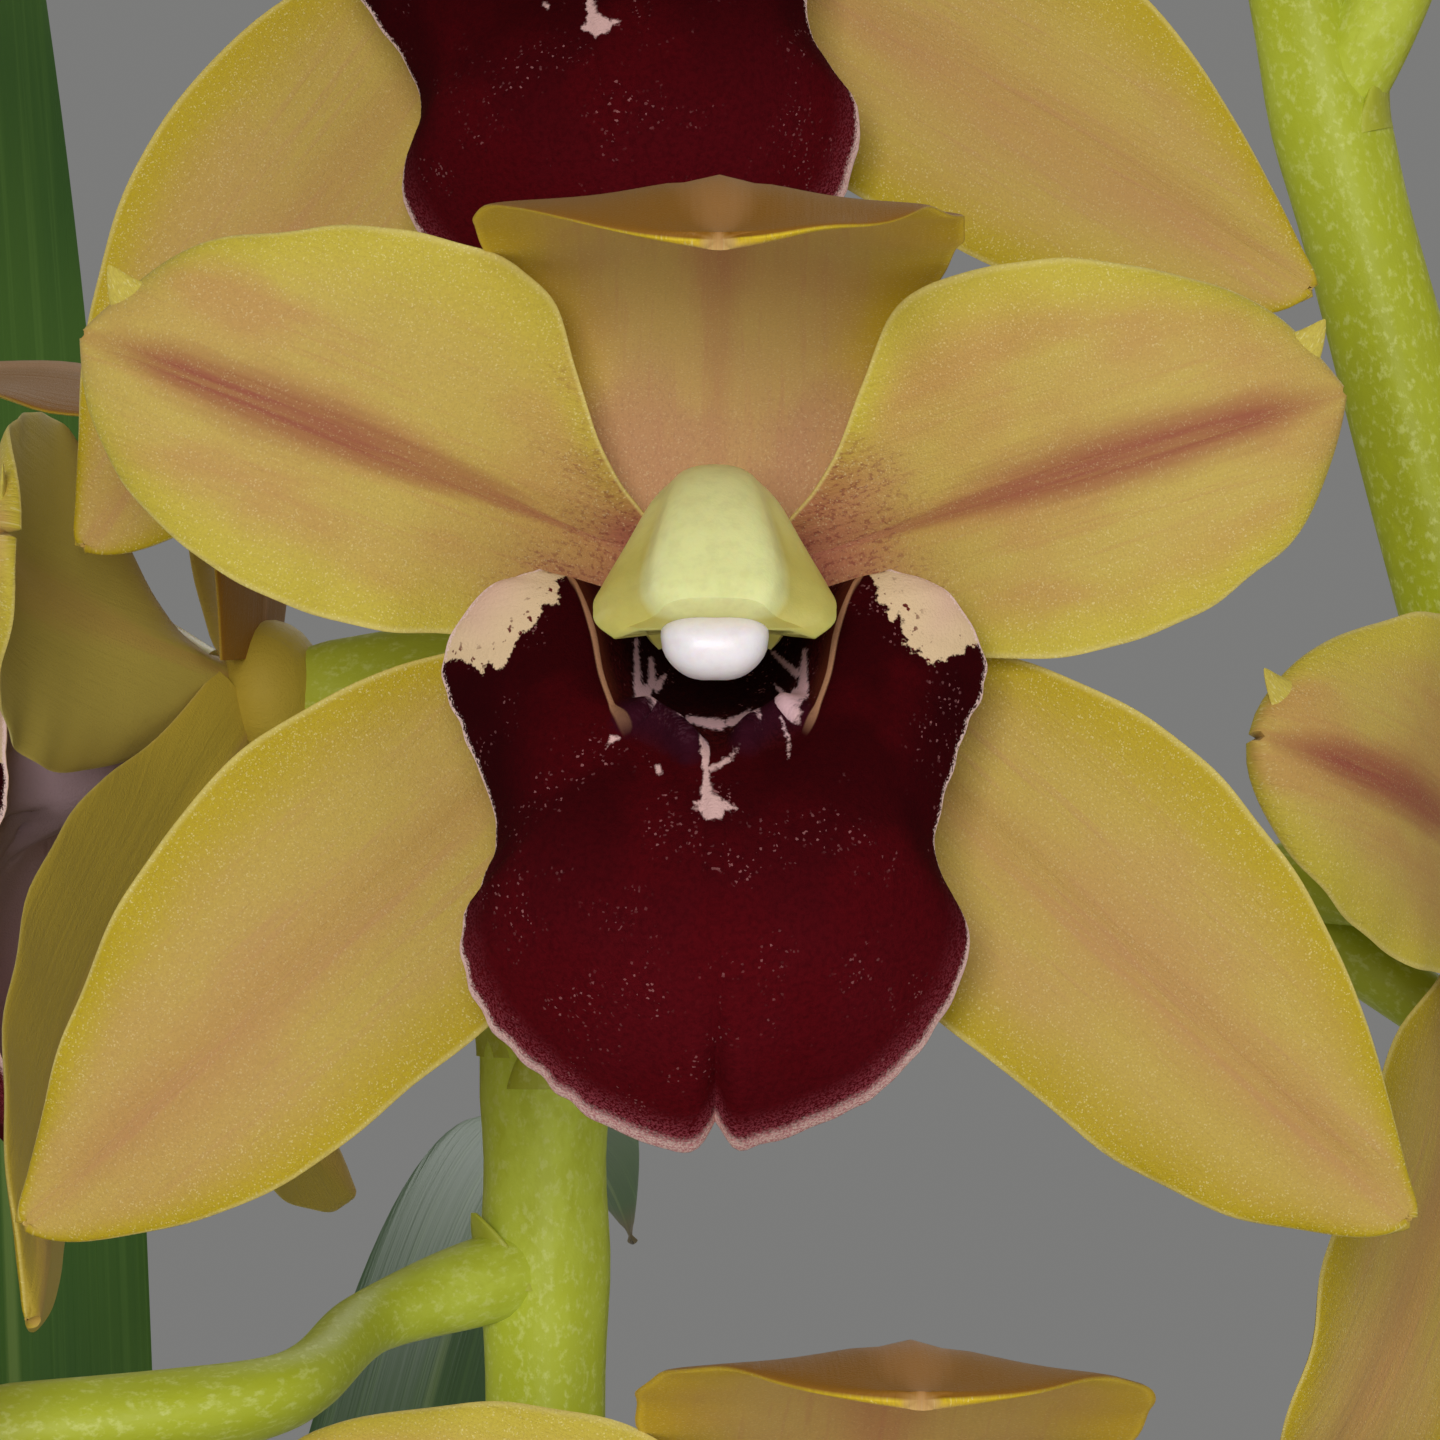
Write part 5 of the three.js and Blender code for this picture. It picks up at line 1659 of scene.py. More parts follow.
def egg(centre: Array, direction: Array, half_length: float, half_width: float, sides: int,
        seams: float, stalk: Triple) -> Patch:
    """A bud: an egg with three shallow seams.

    Args:
        centre: Its middle.
        direction: Its length's unit direction.
        half_length: Half its length.
        half_width: Half its width.
        sides: Points in a ring.
        seams: Depth of the seams as a share of the radius.
        stalk: The material's three numbers.

    Returns:
        The skin.
    """
    turn = np.linspace(0, np.pi, 18)[1:-1, None]
    round_ = circle(sides)[None, :]
    seam = 1 - seams * bell(np.sin(1.5 * round_), 0, 0.25)
    fat = np.sin(turn) ** 0.9 * (1 + 0.16 * np.cos(turn)) * seam
    aside = unit(np.cross(direction, [0.2, 0.9, 0.3]))
    other = np.cross(direction, aside)
    points = centre - direction * (half_length * np.cos(turn))[..., None]
    points = points + (half_width * fat * np.cos(round_))[..., None] * aside
    points = points + (half_width * fat * np.sin(round_))[..., None] * other
    tone = np.broadcast_to(stalk, points.shape)
    return tube(points, {"plan": points, "stalk": tone})


def wrap(base: Array, up: Array, out: Array, radius: float, length: float, spread: float, lean: float,
         tone: Triple, rows: int = 18, columns: int = 13, taper: float = 1.3) -> Patch:
    """A bract or sheath that clasps a stem and narrows to a point.

    A point is turned from the outward direction by its place across times the spread, which narrows
    along it, and stands off the stem by the lean times the square of its height.

    Args:
        base: Centre of the stem at its foot.
        up: The stem's unit direction.
        out: Unit direction from the stem to its middle.
        radius: Radius at its foot.
        length: Its length.
        spread: Half the angle that it wraps at its foot, in radians.
        lean: How far its tip stands off, as a share of its length.
        tone: The material's three numbers.
        rows: Rows.
        columns: Columns.
        taper: A higher power keeps its width longer.

    Returns:
        The skin.
    """
    t = np.linspace(0, 1, rows)[:, None]
    a = edge_places(columns)[None, :]
    turn = a * mix(spread, 0.04, t**taper)
    side = np.cross(up, out)
    round_ = np.cos(turn)[..., None] * out + np.sin(turn)[..., None] * side
    reach = radius + lean * length * t**2 + 0.0 * a
    middle = base + round_ * reach[..., None] + up * (t * length + 0 * a)[..., None]
    plan = stacked(turn * radius, length, t * length)
    marks = {"plan": plan, "stalk": np.broadcast_to(tone, middle.shape)}
    thick = 0.32 * closing(a, 8) * (1 - 0.6 * t**3)
    return leafed(middle, round_, thick, marks)


@dataclass
class Spike:
    """One flower stem with its bloom stalks, ovaries, bracts and unopened buds.

    The points of its path and all heights are measured from the main bloom. A bud is its height and
    its turn round the stem, and the bud lengths are those of the lowest and the highest. The stem
    tapers to the tip radius from a share of its length. The seed turns its ribs and sheaths.
    """

    name: str
    points: Table
    blooms: Sequence[Place]
    buds: Sequence[Pair]
    seed: int
    finish: Material
    radius: float = 3.85
    tip_radius: float = 1.7
    taper_start: float = 0.68
    stalk_radius: float = 2.1
    ovary_radius: float = 2.7
    bud_lengths: Pair = (30.0, 12.0)
    sheath_heights: tuple[float, ...] = (-322, -288, -250, -205)
    sheath_dryness: tuple[float, ...] = (0.9, 0.75, 0.3, 0.15)

    def __post_init__(self) -> None:
        """Lays its path."""
        self.path = Path(np.asarray(self.points, float) + MAIN_BLOOM)

    def rachis_radius(self, share: Array) -> Array:
        """Radius at a share of the stem's length."""
        taper = np.maximum(share - self.taper_start, 0) / (1 - self.taper_start)
        return mix(self.radius, self.tip_radius, taper)

    def rachis(self) -> Patch:
        """The stem, slightly ribbed and swollen where a stalk leaves it."""
        joints = [self.path.at_height(MAIN_BLOOM[2] + b.joins) for b in self.blooms]

        def radius(share: Array) -> Array:
            """Radius with its swellings."""
            swell = sum(bell(share, j, 0.009) for j in joints)
            return self.rachis_radius(share) * (1 + 0.1 * np.minimum(swell, 1))

        def ribs(share: Array, turn: Array) -> Array:
            """Soft ribs that wander a little."""
            return 1 + 0.035 * np.cos(5 * turn + 3 * np.sin(5 * share) + self.seed)

        def stalk(share: Array, turn: Array) -> Array:
            """Paler below, and paler beside the joints."""
            pale = 0.2 + 0.65 * ease(0.42, 0.28, share) * ease(0.05, 0.2, share)
            near = sum(bell(share, j, 0.02) for j in joints)
            pale = np.clip(pale + 0.35 * near, 0, 1)
            return stacked(pale, 0.0, 0.0)

        return swept(self.path, radius, 260, 26, stalk, ribs)

    def stalk(self, bloom: Place) -> list[Patch]:
        """A bloom's stalk with its ovary, and the bract under it."""
        share = self.path.at_height(MAIN_BLOOM[2] + bloom.joins)
        joint, along = self.path(share), self.path.tangent(share)
        facing = bloom.matrix @ np.array([0.0, -1.0, 0.0])
        end = bloom.point - facing * (Bloom.hub_depth + Bloom.hub_half * 0.6) * bloom.size
        reach = np.linalg.norm(end - joint)
        leave = joint + along * reach * bloom.rise + 0.3 * (end - joint)
        arrive = end - facing * reach * 0.42
        path = Path([joint, leave, arrive, end])

        def radius(at: Array) -> Array:
            """From the stalk to the ovary, narrowing into the bloom."""
            swell = mix(self.stalk_radius, self.ovary_radius, ease(0.45, 0.75, at))
            foot = 1 + 0.35 * ease(0.3, 0.08, at)
            return swell * foot * mix(1, 0.9, ease(0.93, 1.0, at))

        def furrows(at: Array, turn: Array) -> Array:
            """Three broad ribs that twist along the ovary."""
            return 1 + 0.09 * np.cos(3 * turn + 2.5 * at) * ease(0.4, 0.7, at)

        def tone(at: Array, turn: Array) -> Array:
            """Pale at its foot and towards the bloom."""
            pale = 0.45 + 0.35 * ease(0.4, 0.1, at) + 0.15 * ease(0.8, 1, at)
            return stacked(pale, 0.0, 0.25 * ease(0.85, 1.0, at))

        tube_ = swept(path, radius, 64, 20, tone, furrows)
        out = path(0.22) - joint
        out = unit(out - along * (out @ along))
        clasp = float(self.rachis_radius(share)) + 0.15
        bract = wrap(joint - along * 1.6, along, out, clasp, 5.0, 0.8, 0.3, (0.6, 0.1, 0.2))
        return [tube_, bract]

    def bud(self, order: int) -> list[Patch]:
        """An unopened bud on its own stalk."""
        joins, turn = self.buds[order]
        share = self.path.at_height(MAIN_BLOOM[2] + joins)
        point, along = self.path(share), self.path.tangent(share)
        turn = np.radians(turn)
        outward = np.array([np.sin(turn), -np.cos(turn), 0.0])
        length = mix(*self.bud_lengths, order / (len(self.buds) - 1))
        end = point + outward * length * 0.8 + along * length * 0.62
        knee = mix(point, end, 0.5)
        knee[2] = mix(point[2], end[2], 0.4)
        path = Path([point, knee, end + (end - knee) * 0.15])
        tone = (0.55, 0.0, 0.1)
        stalk = swept(path, lambda at: 1.5 + 0.25 * at, 24, 14,
                      lambda at, turn: np.broadcast_to(tone, (*at.shape, 3)))
        direction = unit(end - point)
        middle = end + direction * length * 0.34
        bud = egg(middle, direction, length * 0.46, length * 0.2, 36, 0.07, (0.6, 0.0, 0.35))
        bract = wrap(point - along * 2, along, outward, 2.6, 6.0, 1.3, 0.4, (0.7, 0.1, 0.2), 12, 9)
        return [stalk, bud, bract]

    def sheaths(self) -> list[Patch]:
        """Dry and green sheaths that clasp the lower stem."""
        out = []
        for k, (height, dry) in enumerate(zip(self.sheath_heights, self.sheath_dryness)):
            share = self.path.at_height(MAIN_BLOOM[2] + height)
            base, along = self.path(share), self.path.tangent(share)
            turn = 2.4 * k + self.seed
            outward = unit(np.cross(along, [np.cos(turn), np.sin(turn), 0.1]))
            clasp, length, tone = self.radius + 0.55, 44 - 5 * k, (0.7, dry, 0.2)
            out.append(wrap(base, along, outward, clasp, length, 2.9, 0.07, tone, 28, 31, 2.2))
        return out

    def build(self) -> None:
        """Makes the piece."""
        piece = Piece(f"{self.name}_skin", [self.finish])
        piece.add(self.rachis(), *self.sheaths())
        for bloom in self.blooms:
            piece.add(*self.stalk(bloom))
        for order in range(len(self.buds)):
            piece.add(*self.bud(order))
        tip = self.path(1.0)
        piece.add(egg(tip, self.path.tangent(1.0), 6.0, 2.6, 20, 0.06, (0.6, 0.0, 0.2)))
        piece.build([self.name], "flower_stem")


# Growths


@dataclass(frozen=True)
class LeafSize:
    """One strap leaf: its direction, length, width, rise at its foot and bend to its tip."""

    azimuth: float
    length: float
    width: float
    rise: float
    bend: float


@dataclass
class Growth:
    """A pseudobulb with its sheaths and strap leaves.

    The bulb stands sunk in the bark, and its flatness is its depth as a share of its width. The leaf
    sinks are how far below its top the first and the last leaf start, and the sheath tops are shares of
    its height. The profile is the share of its radius at each share of its height, the widths are the
    same for a leaf, and the fold is the degrees that each half of a leaf is folded up.
    """

    node: str
    at: Pair
    scale: float
    leaves: Sequence[LeafSize]
    finish: Material
    slot: str = "foliage"
    bark_top: float = 156.0
    height: float = 66.0
    radius: float = 21.0
    flatness: float = 0.82
    sunk: float = 12.0
    leaf_lean: float = 7.0
    leaf_sinks: Pair = (12.0, 34.0)
    bend_power: float = 1.5
    leaf_thickness: float = 1.1
    grain_shift: float = 4.1
    sheath_tops: tuple[float, ...] = (0.62, 0.78, 0.9, 0.98, 1.08, 1.12)
    profile: Knots = Knots([
        [0, 0.62], [0.12, 0.86], [0.35, 1], [0.6, 0.9], [0.82, 0.6], [0.95, 0.32], [1, 0.12],
    ])
    widths: Knots = Knots([
        [0, 0.5], [0.12, 0.62], [0.3, 0.92], [0.5, 1], [0.75, 0.84], [0.92, 0.46], [1, 0.02],
    ])
    fold: Knots = Knots([[0, 46], [0.3, 30], [1, 16]])

    @property
    def seed(self) -> int:
        """The seed of its ripples."""
        return int(abs(self.at[0]) * 3 + abs(self.at[1]))

    def shell(self, share: Array, turn: Array, grow: float = 0.0) -> Array:
        """Points on the bulb at a share of its height, standing off it by grow."""
        radius = self.radius * self.scale * self.profile(share) + grow
        x = self.at[0] + radius * np.cos(turn)
        y = self.at[1] + radius * np.sin(turn) * self.flatness / self.scale
        z = self.bark_top - self.sunk + share * self.height * self.scale
        return stacked(x, y, z)

    def bulb(self) -> Patch:
        """The bulb, with shallow ribs."""
        share = np.linspace(0, 1, 40)[:, None]
        turn = circle(48)[None, :]
        ribs = 0.35 * np.cos(11 * turn + self.seed) * np.sin(np.pi * share)
        points = self.shell(share, turn, 0) + 0 * ribs[..., None]
        points[..., 0] += ribs * np.cos(turn)
        points[..., 1] += ribs * np.sin(turn)
        leaf = stacked(0.6, 0.06, 0 * ribs)
        plan = stacked(turn * self.radius, share * self.height, 0 * ribs)
        return tube(points, {"leaf": leaf, "plan": plan})

    def sheath(self, order: int, dry: float) -> Patch:
        """A leaf base that clasps the bulb and ends in a point."""
        share = np.linspace(0.0, 1.0, 34)[:, None]
        across = edge_places(31)[None, :]
        middle_turn = np.radians(self.leaves[order].azimuth if self.leaves else 90 * order + 20)
        top = self.sheath_tops[order]
        turn = middle_turn + across * mix(1.75, 0.1, share**2.4)
        level = np.minimum(share * top, 1.0)
        lift = 0.5 + 0.75 * (5 - order) * 0.5 + 4.5 * share**5
        middle = self.shell(level, turn, 0.0)
        out = stacked(np.cos(turn), np.sin(turn), 0.0)
        middle = middle + out * (lift + 0 * turn)[..., None]
        middle[..., 2] += np.maximum(share * top - 1, 0) * self.height * self.scale
        normal = normals_of(middle, out)
        leaf = stacked(across, 0.04 + 0.1 * share, dry)
        plan = stacked(turn * self.radius, share * self.height, order * 3.0)
        thick = 0.4 * closing(across, 8) * (1 - 0.5 * share**4)
        return leafed(middle, normal, thick, {"leaf": leaf, "plan": plan})

    def leaf(self, order: int) -> Patch:
        """A strap leaf.

        Its pitch falls from the rise by the bend times a power of the share, and the middle is the sum
        of the short steps along that pitch. Each half is folded up from the middle vein.
        """
        size = self.leaves[order]
        rows, columns = 72, 17
        share = np.linspace(0, 1, rows)
        azimuth = np.radians(size.azimuth)
        outward = np.array([np.cos(azimuth), np.sin(azimuth), 0.0])
        sideways = np.array([-outward[1], outward[0], 0.0])
        top = self.bark_top - self.sunk + self.height * self.scale
        foot = np.array([*self.at, top - mix(*self.leaf_sinks, order / len(self.leaves))])
        foot = foot + self.leaf_lean * outward
        fine = np.linspace(0, 1, 1201)
        mid = (fine[1:] + fine[:-1]) / 2
        pitch_mid = np.radians(size.rise - size.bend * mid**self.bend_power)
        step = size.length / len(mid)
        run = np.concatenate([[0], np.cumsum(np.cos(pitch_mid) * step)])
        climb = np.concatenate([[0], np.cumsum(np.sin(pitch_mid) * step)])
        centre = foot + np.interp(share, fine, run)[:, None] * outward
        centre[:, 2] += np.interp(share, fine, climb)
        pitch = np.radians(size.rise - size.bend * share**self.bend_power)
        up = -np.sin(pitch)[:, None] * outward + np.cos(pitch)[:, None] * np.array([0, 0, 1.0])
        seed = self.seed * 10 + order
        twist = 0.12 * Ripple(seed, 0.3, 0.9)(share) * ease(0.1, 0.6, share)
        ahead = np.cross(sideways, up)
        across_dir = around_axis(np.broadcast_to(sideways, up.shape), ahead, twist[:, None])
        up = around_axis(up, ahead, twist[:, None])
        across = edge_places(columns)[None, :]
        half = (size.width / 2 * self.widths(share))[:, None]
        fold = np.radians(self.fold(share))[:, None]
        soft = np.sqrt(across**2 + 0.006) - np.sqrt(0.006)
        wave = 0.5 * Ripple(seed + 3, 1.5, 4.0)(share)[:, None] * across**2 * ease(0.2, 0.5, share)[:, None]
        lift = half * np.sin(fold) * soft + wave
        middle = centre[:, None] + (half * np.cos(fold) * across)[..., None] * across_dir[:, None]
        middle = middle + lift[..., None] * up[:, None]
        normal = normals_of(middle, up[:, None])
        middle = middle - normal * self.leaf_thickness / 2
        thick = self.leaf_thickness / 2 * (1 - 0.5 * np.abs(across)) * closing(across, 10) + 0 * half
        leaf = stacked(across, share[:, None], 0.0)
        plan = stacked(half * across, share[:, None] * size.length, seed * self.grain_shift)
        return leafed(middle, normal, thick, {"leaf": leaf, "plan": plan})

    def build(self) -> None:
        """Makes the piece."""
        piece = Piece(f"{self.node}_skin", [self.finish])
        piece.add(self.bulb())
        dryness = (1.0, 0.85, 0.15, 0.0, 0.0, 0.0) if self.leaves else (1.0, 1.0, 1.0)
        piece.add(*(self.sheath(k, dry) for k, dry in enumerate(dryness)))
        piece.add(*(self.leaf(k) for k in range(len(self.leaves))))
        piece.build([self.node], self.slot)


# Pot and bark


@dataclass
class Pot:
    """The plain clay pot: a turned wall with a collar and four drain holes.

    The corner share and length are the most that one rounding cut takes of a side.
    """

    finish: Material
    corner_share: float = 0.22
    corner_length: float = 1.1
    drain_radius: float = 7.0
    drain_circle: float = 38.0
    drain_count: int = 4

    outline: ClassVar = [
        [0.5, 1.2], [60, 1.2], [62, 0], [66.5, 0], [68, 1.4], [86.4, 142.5], [87.4, 144.6], [94, 146.4],
        [95.9, 148.2], [98, 174.5], [96.8, 177.4], [94.6, 178], [88, 178], [86.2, 176.6], [62.6, 12],
        [60, 9], [0.5, 9],
    ]

    def profile(self) -> Array:
        """The outline with each corner cut off twice, a share of the way along its sides."""
        points = np.asarray(self.outline, float)
        for _ in range(2):
            start, end = points[:-1], points[1:]
            reach = np.linalg.norm(end - start, axis=1, keepdims=True)
            cut = np.minimum(self.corner_share, self.corner_length / np.maximum(reach, 1e-6))
            inner = np.stack([mix(start, end, cut), mix(end, start, cut)], 1).reshape(-1, 2)
            points = np.vstack([points[:1], inner[1:-1], points[-1:]])
        return points

    def build(self) -> None:
        """Makes the piece."""
        points = self.profile()
        turn = circle(128)[None, :]
        radius, z = points[:, :1], points[:, 1:]
        line = 0.12 * Ripple(4, 0.05, 0.3)(z) * (radius > 60)
        rings = stacked((radius + line) * np.cos(turn), (radius + line) * np.sin(turn), z)
        piece = Piece("pot_skin", [self.finish])
        piece.add(tube(rings, {"plan": rings}))
        pot = piece.build(["pot"], "terracotta", 50.0)
        self.drill(pot)

    def drill(self, pot: Thing) -> None:
        """Cuts the drain holes through the floor."""
        for k in range(self.drain_count):
            turn = 2 * np.pi * (k + 0.5) / self.drain_count
            drill = Piece(f"drill_{k}", [self.finish])
            round_ = circle(32)
            spot = self.drain_circle * np.array([np.cos(turn), np.sin(turn)])
            ring = stacked(spot[0] + self.drain_radius * np.cos(round_),
                           spot[1] + self.drain_radius * np.sin(round_), 0.0)
            rings = np.stack([ring + [0, 0, z] for z in (-6.0, 16.0)])
            drill.add(tube(rings, {"plan": rings}))
            cutter = drill.shape()
            cut = pot.modifiers.new("drain", "BOOLEAN")
            cut.object = cutter
            cut.operation = "DIFFERENCE"
            cut.solver = "EXACT"
            bpy.context.view_layer.update()
            mesh = bpy.data.meshes.new_from_object(pot.evaluated_get(bpy.context.evaluated_depsgraph_get()))
            pot.modifiers.clear()
            pot.data = mesh
            bpy.data.objects.remove(cutter)


@dataclass
class BarkBed:
    """The bark mix: a bed whose top is lumpy, under a loose layer of chips.

    The floor and the rim are height and radius at the two ends of the pot's inner wall. The chip count
    is how many are tried, and their sizes are the least and the most.
    """

    bulbs: Sequence[tuple[Pair, float]]
    finish: Material
    low: float = 9.35
    top: float = 156.0
    floor: Pair = (9.0, 62.0)
    rim: Pair = (178.0, 86.0)
    gap: float = 0.35
    chip_count: int = 520
    chip_lengths: Pair = (9, 22)
    chip_widths: Pair = (7, 13)
    chip_depths: Pair = (3.5, 7.5)
    chip_tilt: float = 24

    def inside(self, height: float) -> float:
        """The pot's inner radius at a height, less the gap."""
        share = (height - self.floor[0]) / (self.rim[0] - self.floor[0])
        return mix(self.floor[1], self.rim[1], share) - self.gap

    def bed(self) -> Patch:
        """The plug, whose top rises and falls by a few ripples."""
        turn = circle(96)[None, :]
        wide = self.inside(self.top)
        foot = np.array([[0.5, self.low], [self.inside(self.low), self.low], [wide, self.top - 4]])
        reach = np.linspace(wide - 0.6, 0.5, 30)
        radius = np.concatenate([foot[:, 0], reach])[:, None]
        height = np.concatenate([foot[:, 1], np.full(30, self.top - 3.0)])[:, None]
        x, y = radius * np.cos(turn), radius * np.sin(turn)
        lumps = Ripple(3, 0.02, 0.07)(x) + Ripple(8, 0.02, 0.07)(y)
        rise = np.where(np.arange(33)[:, None] > 3, 1.6 * lumps * ease(86, 70, radius), 0)
        rings = stacked(x, y, height + rise)
        chip = np.broadcast_to([0.1, 0, 0], rings.shape)
        return tube(rings, {"plan": rings, "chip": chip})

    def chip(self, draw: np.random.Generator) -> Patch | None:
        """One chip: four rough rings of six points, tilted a little, or nothing if a bulb is there."""
        radius = (self.inside(self.top) - 8) * np.sqrt(draw.uniform())
        turn = draw.uniform(0, 2 * np.pi)
        spot = np.array([radius * np.cos(turn), radius * np.sin(turn)])
        for at, scale in self.bulbs:
            if np.linalg.norm((spot - at) / [1, Growth.flatness]) < Growth.radius * scale - 1:
                return None
        sizes = (self.chip_lengths, self.chip_widths, self.chip_depths)
        length, width, thick = (draw.uniform(*limits) for limits in sizes)
        t = np.array([-0.5, -0.34, 0.3, 0.5])[:, None] + draw.uniform(-0.04, 0.04, (4, 6))
        fat = np.array([0.62, 1.0, 0.96, 0.58])[:, None] * draw.uniform(0.78, 1.1, (4, 6))
        round_ = circle(6)[None, :] + draw.uniform(-0.25, 0.25, (1, 6))
        across, up = np.cos(round_) * width / 2, np.sin(round_) * thick / 2
        local = stacked(t * length, fat * across, fat * up)
        tilt_x, tilt_y = draw.uniform(-self.chip_tilt, self.chip_tilt, 2)
        heading = draw.uniform(0, np.pi)
        spin = Place((0, 0, 0), np.degrees(heading), tilt_x, tilt_y, 1, 0).matrix
        where = np.array([*spot, self.top + draw.uniform(-3.5, 3.2)])
        points = local @ spin.T + where
        own = np.broadcast_to([draw.uniform(), 0, 0], points.shape)
        return tube(points, {"plan": local + draw.uniform(0, 90), "chip": own})

    def build(self) -> None:
        """Makes the piece."""
        draw = np.random.default_rng(12)
        piece = Piece("bark_mix_skin", [self.finish])
        piece.add(self.bed())
        chips = (self.chip(draw) for _ in range(self.chip_count))
        piece.add(*(chip for chip in chips if chip is not None))
        piece.build(["bark_mix"], "bark", 32.0)


# The whole plant and its studio


GROWTHS = [
    ((-44, -22), 1.0, [(176, 430, 21, 66, 106), (196, 400, 20, 58, 100), (214, 330, 19, 50, 96),
                       (158, 450, 22, 70, 100), (236, 260, 18, 44, 92), (186, 300, 18, 38, 74)]),
    ((46, -30), 0.96, [(-8, 410, 21, 60, 104), (-26, 430, 21, 58, 104), (-44, 360, 20, 50, 98),
                       (-62, 260, 18, 42, 90), (8, 370, 19, 50, 92), (-16, 280, 18, 36, 70)]),
    ((-34, 42), 1.04, [(100, 480, 22, 84, 58), (118, 510, 23, 76, 92), (136, 480, 22, 70, 100),
                       (150, 410, 21, 60, 96), (84, 450, 21, 74, 98), (128, 330, 19, 46, 80)]),
    ((44, 44), 1.0, [(62, 490, 22, 82, 60), (44, 460, 22, 70, 98), (28, 430, 21, 62, 100),
                     (76, 460, 22, 72, 96), (12, 360, 20, 52, 92), (48, 330, 19, 44, 78)]),
]
BACK_BULB = ((-4, 62), 0.86)


class Orchid:
    """The whole plant in its pot."""

    def finishes(self) -> dict[str, list[Material]]:
        """Makes the materials that the blooms share."""
        groups = {"frost": frost_and_glint_group(), "streaks": streak_group()}
        petal = BladeColours(
            base=srgb(204, 176, 84), margin=srgb(204, 184, 60), cloud=srgb(196, 145, 84),
            stripe=srgb(156, 76, 60), blush=srgb(176, 98, 84), rim=srgb(224, 206, 120),
            back=srgb(190, 168, 76), stripe_strength=0.95, stripe_width=0.19, cloud_strength=0.7,
            line_strength=0.4, blush_end=0.36, speck=srgb(126, 46, 46), speck_strength=0.6)
        sepal = replace(
            petal, base=srgb(200, 170, 76), margin=srgb(190, 164, 10), cloud=srgb(196, 146, 94),
            stripe=srgb(190, 128, 88), back=srgb(186, 160, 54), stripe_strength=0.4,
            stripe_width=0.3, cloud_strength=0.36, line_strength=0.4, blush_end=0.26)
        hood = replace(
            sepal, base=srgb(214, 180, 102), margin=srgb(214, 178, 20), cloud=srgb(206, 152, 100),
            stripe=srgb(190, 116, 92), blush=srgb(198, 146, 104), rim=srgb(236, 204, 40),
            back=srgb(146, 96, 14), stripe_strength=0.5, stripe_width=0.22, line_strength=0.5,
            blush_end=0.3, speck_strength=0.15)
        blades = [BladeFinish("tepal_petal", petal, groups), BladeFinish("tepal_sepal", sepal, groups),
                  BladeFinish("tepal_hood", hood, groups)]
        column = WaxFinish("column", srgb(240, 242, 172), srgb(204, 192, 100), srgb(156, 146, 66))
        cap = WaxFinish("anther_cap", srgb(252, 242, 246), srgb(240, 226, 226), srgb(206, 172, 186))
        return {"tepals": [b.make() for b in blades], "lip": [LipFinish().make()],
                "column": [column.make()], "cap": [cap.make()]}

    def build(self) -> None:
        """Makes every piece."""
        shared = self.finishes()
        stem, leaf = StemFinish().make(), LeafFinish().make()
        bark, clay = BarkFinish().make(), ClayFinish().make()
        for i, place in enumerate([*A_BLOOMS, *B_BLOOMS]):
            Bloom(i + 1, place, CLOSE if i == 0 else NEAR, shared).build()
        Spike("spike_a_stem", A_PATH, A_BLOOMS, A_BUDS, 1, stem).build()
        Spike("spike_b_stem", B_PATH, B_BLOOMS, B_BUDS, 4, stem).build()
        for k, (at, scale, leaves) in enumerate(GROWTHS):
            sizes = [LeafSize(*leaf_size) for leaf_size in leaves]
            Growth(f"growth_{k + 1}", at, scale, sizes, leaf).build()
        Growth("back_bulb", *BACK_BULB, [], leaf, "bulb").build()
        bulbs = [(at, scale) for at, scale, _ in GROWTHS] + [BACK_BULB]
        BarkBed(bulbs, bark).build()
        Pot(clay).build()


@dataclass(frozen=True)
class SoftLight:
    """One soft light: its place, what it faces, its size in metres, its power and its colour."""

    name: str
    at: Triple
    towards: Triple
    size: float
    watts: float
    colour: Colour = (1.0, 1.0, 1.0)


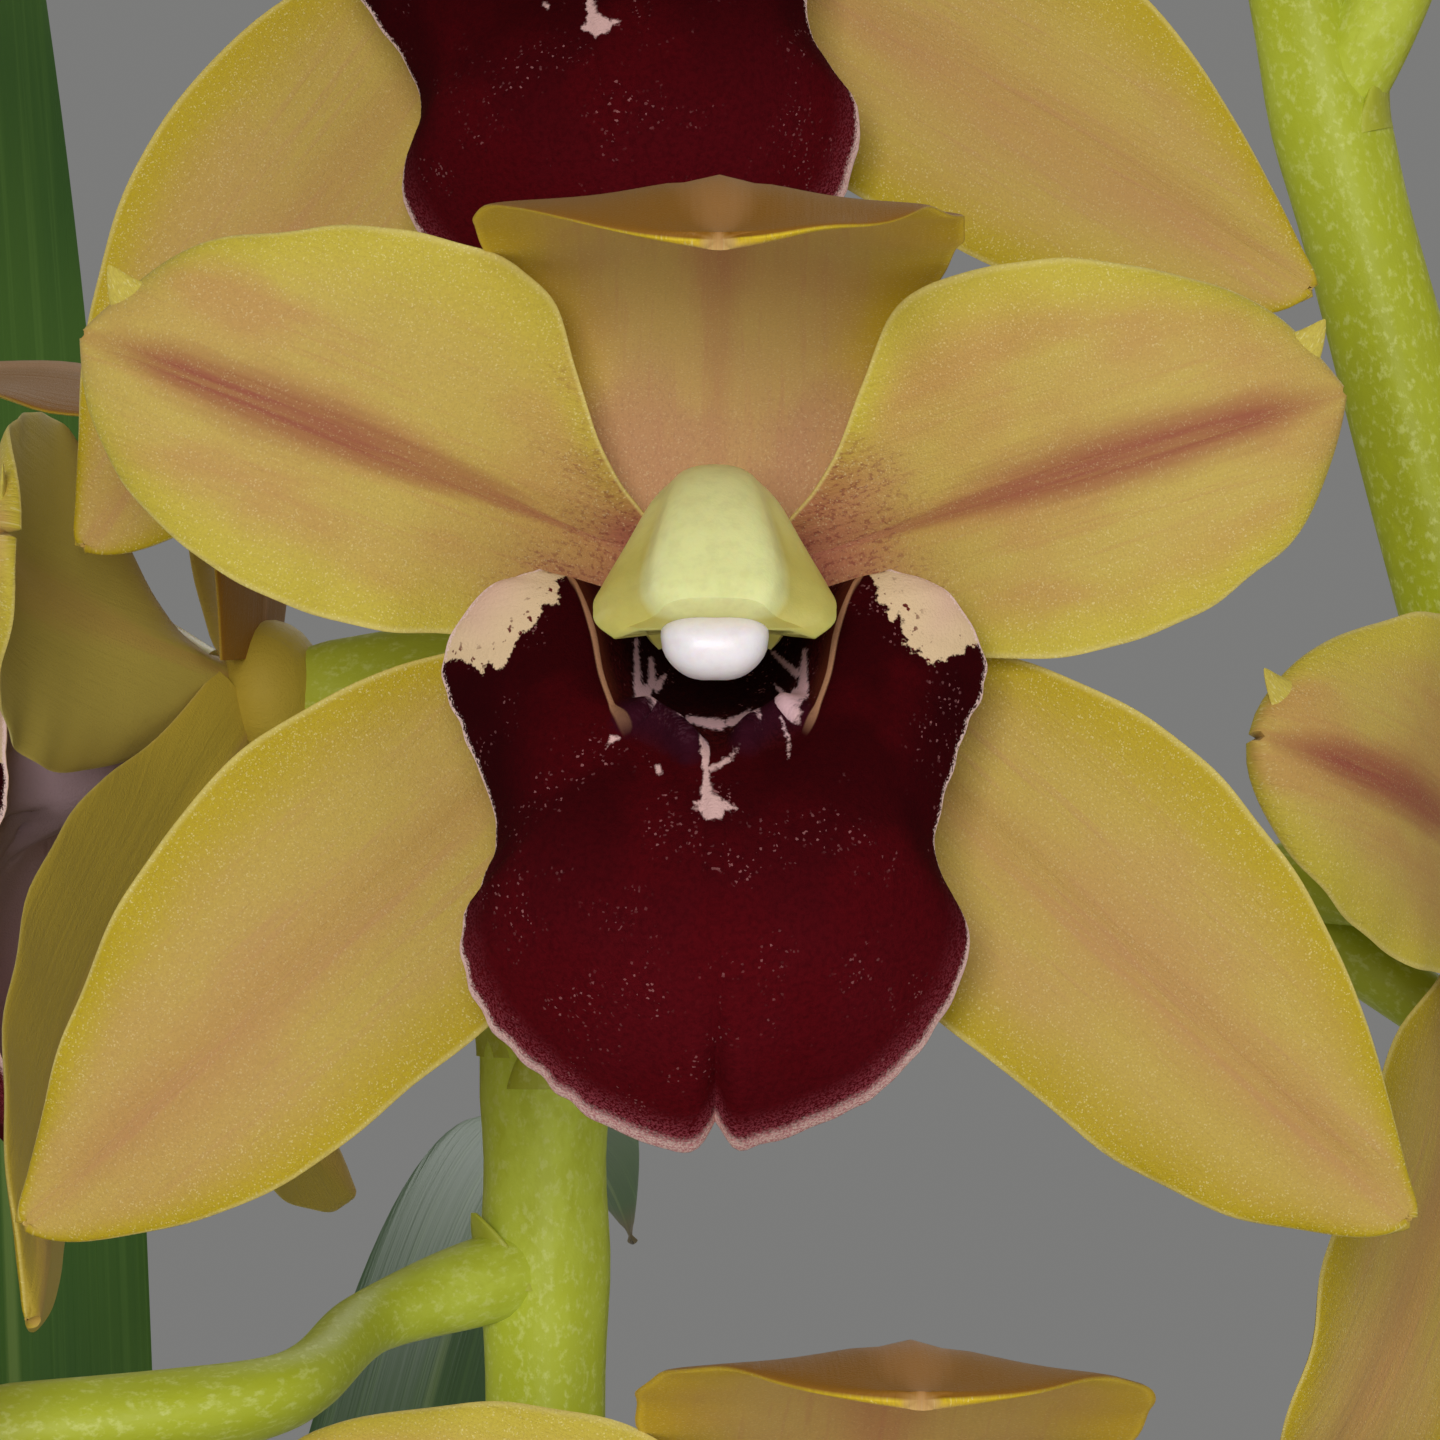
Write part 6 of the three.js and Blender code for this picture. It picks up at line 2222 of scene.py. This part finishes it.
@dataclass
class Studio:
    """A pale floor, soft lights and the camera at the photograph's viewing angle.

    Places are in metres. The camera looks along +y.
    """

    lights: tuple[SoftLight, ...] = (
        SoftLight("key", (-0.14, -1.6, 0.7), (0.0, 0.0, 0.46), 0.55, 13.8),
        SoftLight("fill", (1.3, -1.0, 0.8), (0.0, 0.0, 0.4), 1.2, 4.2),
        SoftLight("back", (0.6, 1.9, 1.6), (0.0, 0.0, 0.35), 1.4, 10.0),
        SoftLight("side", (-1.9, 0.6, 1.2), (0.0, 0.0, 0.35), 1.4, 5.5),
    )
    sky: float = 0.2
    focal_mm: float = 181.0
    sensor_mm: float = 36.0
    eye: Triple = (0.01029, -0.460, 0.47217)
    floor_half: float = 4.0

    def aim(self, thing: Thing, at: Sequence[float], towards: Sequence[float]) -> None:
        """Places a light or camera and turns it to face a point."""
        thing.location = at
        direction = Vector(towards) - Vector(at)
        thing.rotation_euler = direction.to_track_quat("-Z", "Y").to_euler()

    def build(self) -> None:
        """Makes floor, world, lights and camera."""
        half = self.floor_half
        corners = [(-half, -half, 0), (half, -half, 0), (half, half, 0), (-half, half, 0)]
        mesh = bpy.data.meshes.new("floor")
        mesh.from_pydata(corners, [], [(0, 1, 2, 3)])
        pale = bpy.data.materials.new("floor")
        pale.use_nodes = True
        shader = pale.node_tree.nodes["Principled BSDF"]
        shader.inputs["Base Color"].default_value = (0.74, 0.73, 0.71, 1)
        shader.inputs["Roughness"].default_value = 0.8
        mesh.materials.append(pale)
        floor = placed("floor", mesh)
        world = bpy.data.worlds.new("studio")
        world.use_nodes = True
        background = world.node_tree.nodes["Background"]
        background.inputs["Color"].default_value = (self.sky, self.sky, self.sky * 0.98, 1)
        bpy.context.scene.world = world
        for light in self.lights:
            data = bpy.data.lights.new(light.name, "AREA")
            data.size = light.size
            data.energy = light.watts
            data.color = light.colour
            self.aim(placed(light.name, data), light.at, light.towards)
        lens = bpy.data.cameras.new("camera")
        lens.lens = self.focal_mm
        lens.sensor_width = self.sensor_mm
        lens.dof.use_dof = False
        camera = placed("camera", lens)
        self.aim(camera, self.eye, (self.eye[0], 0.0, self.eye[2]))
        bpy.context.scene.camera = camera
        bpy.context.scene.view_settings.view_transform = "Standard"


def main() -> None:
    """Builds the scene."""
    Orchid().build()
    Studio().build()
    bpy.context.view_layer.update()


if __name__ == "__main__":
    main()
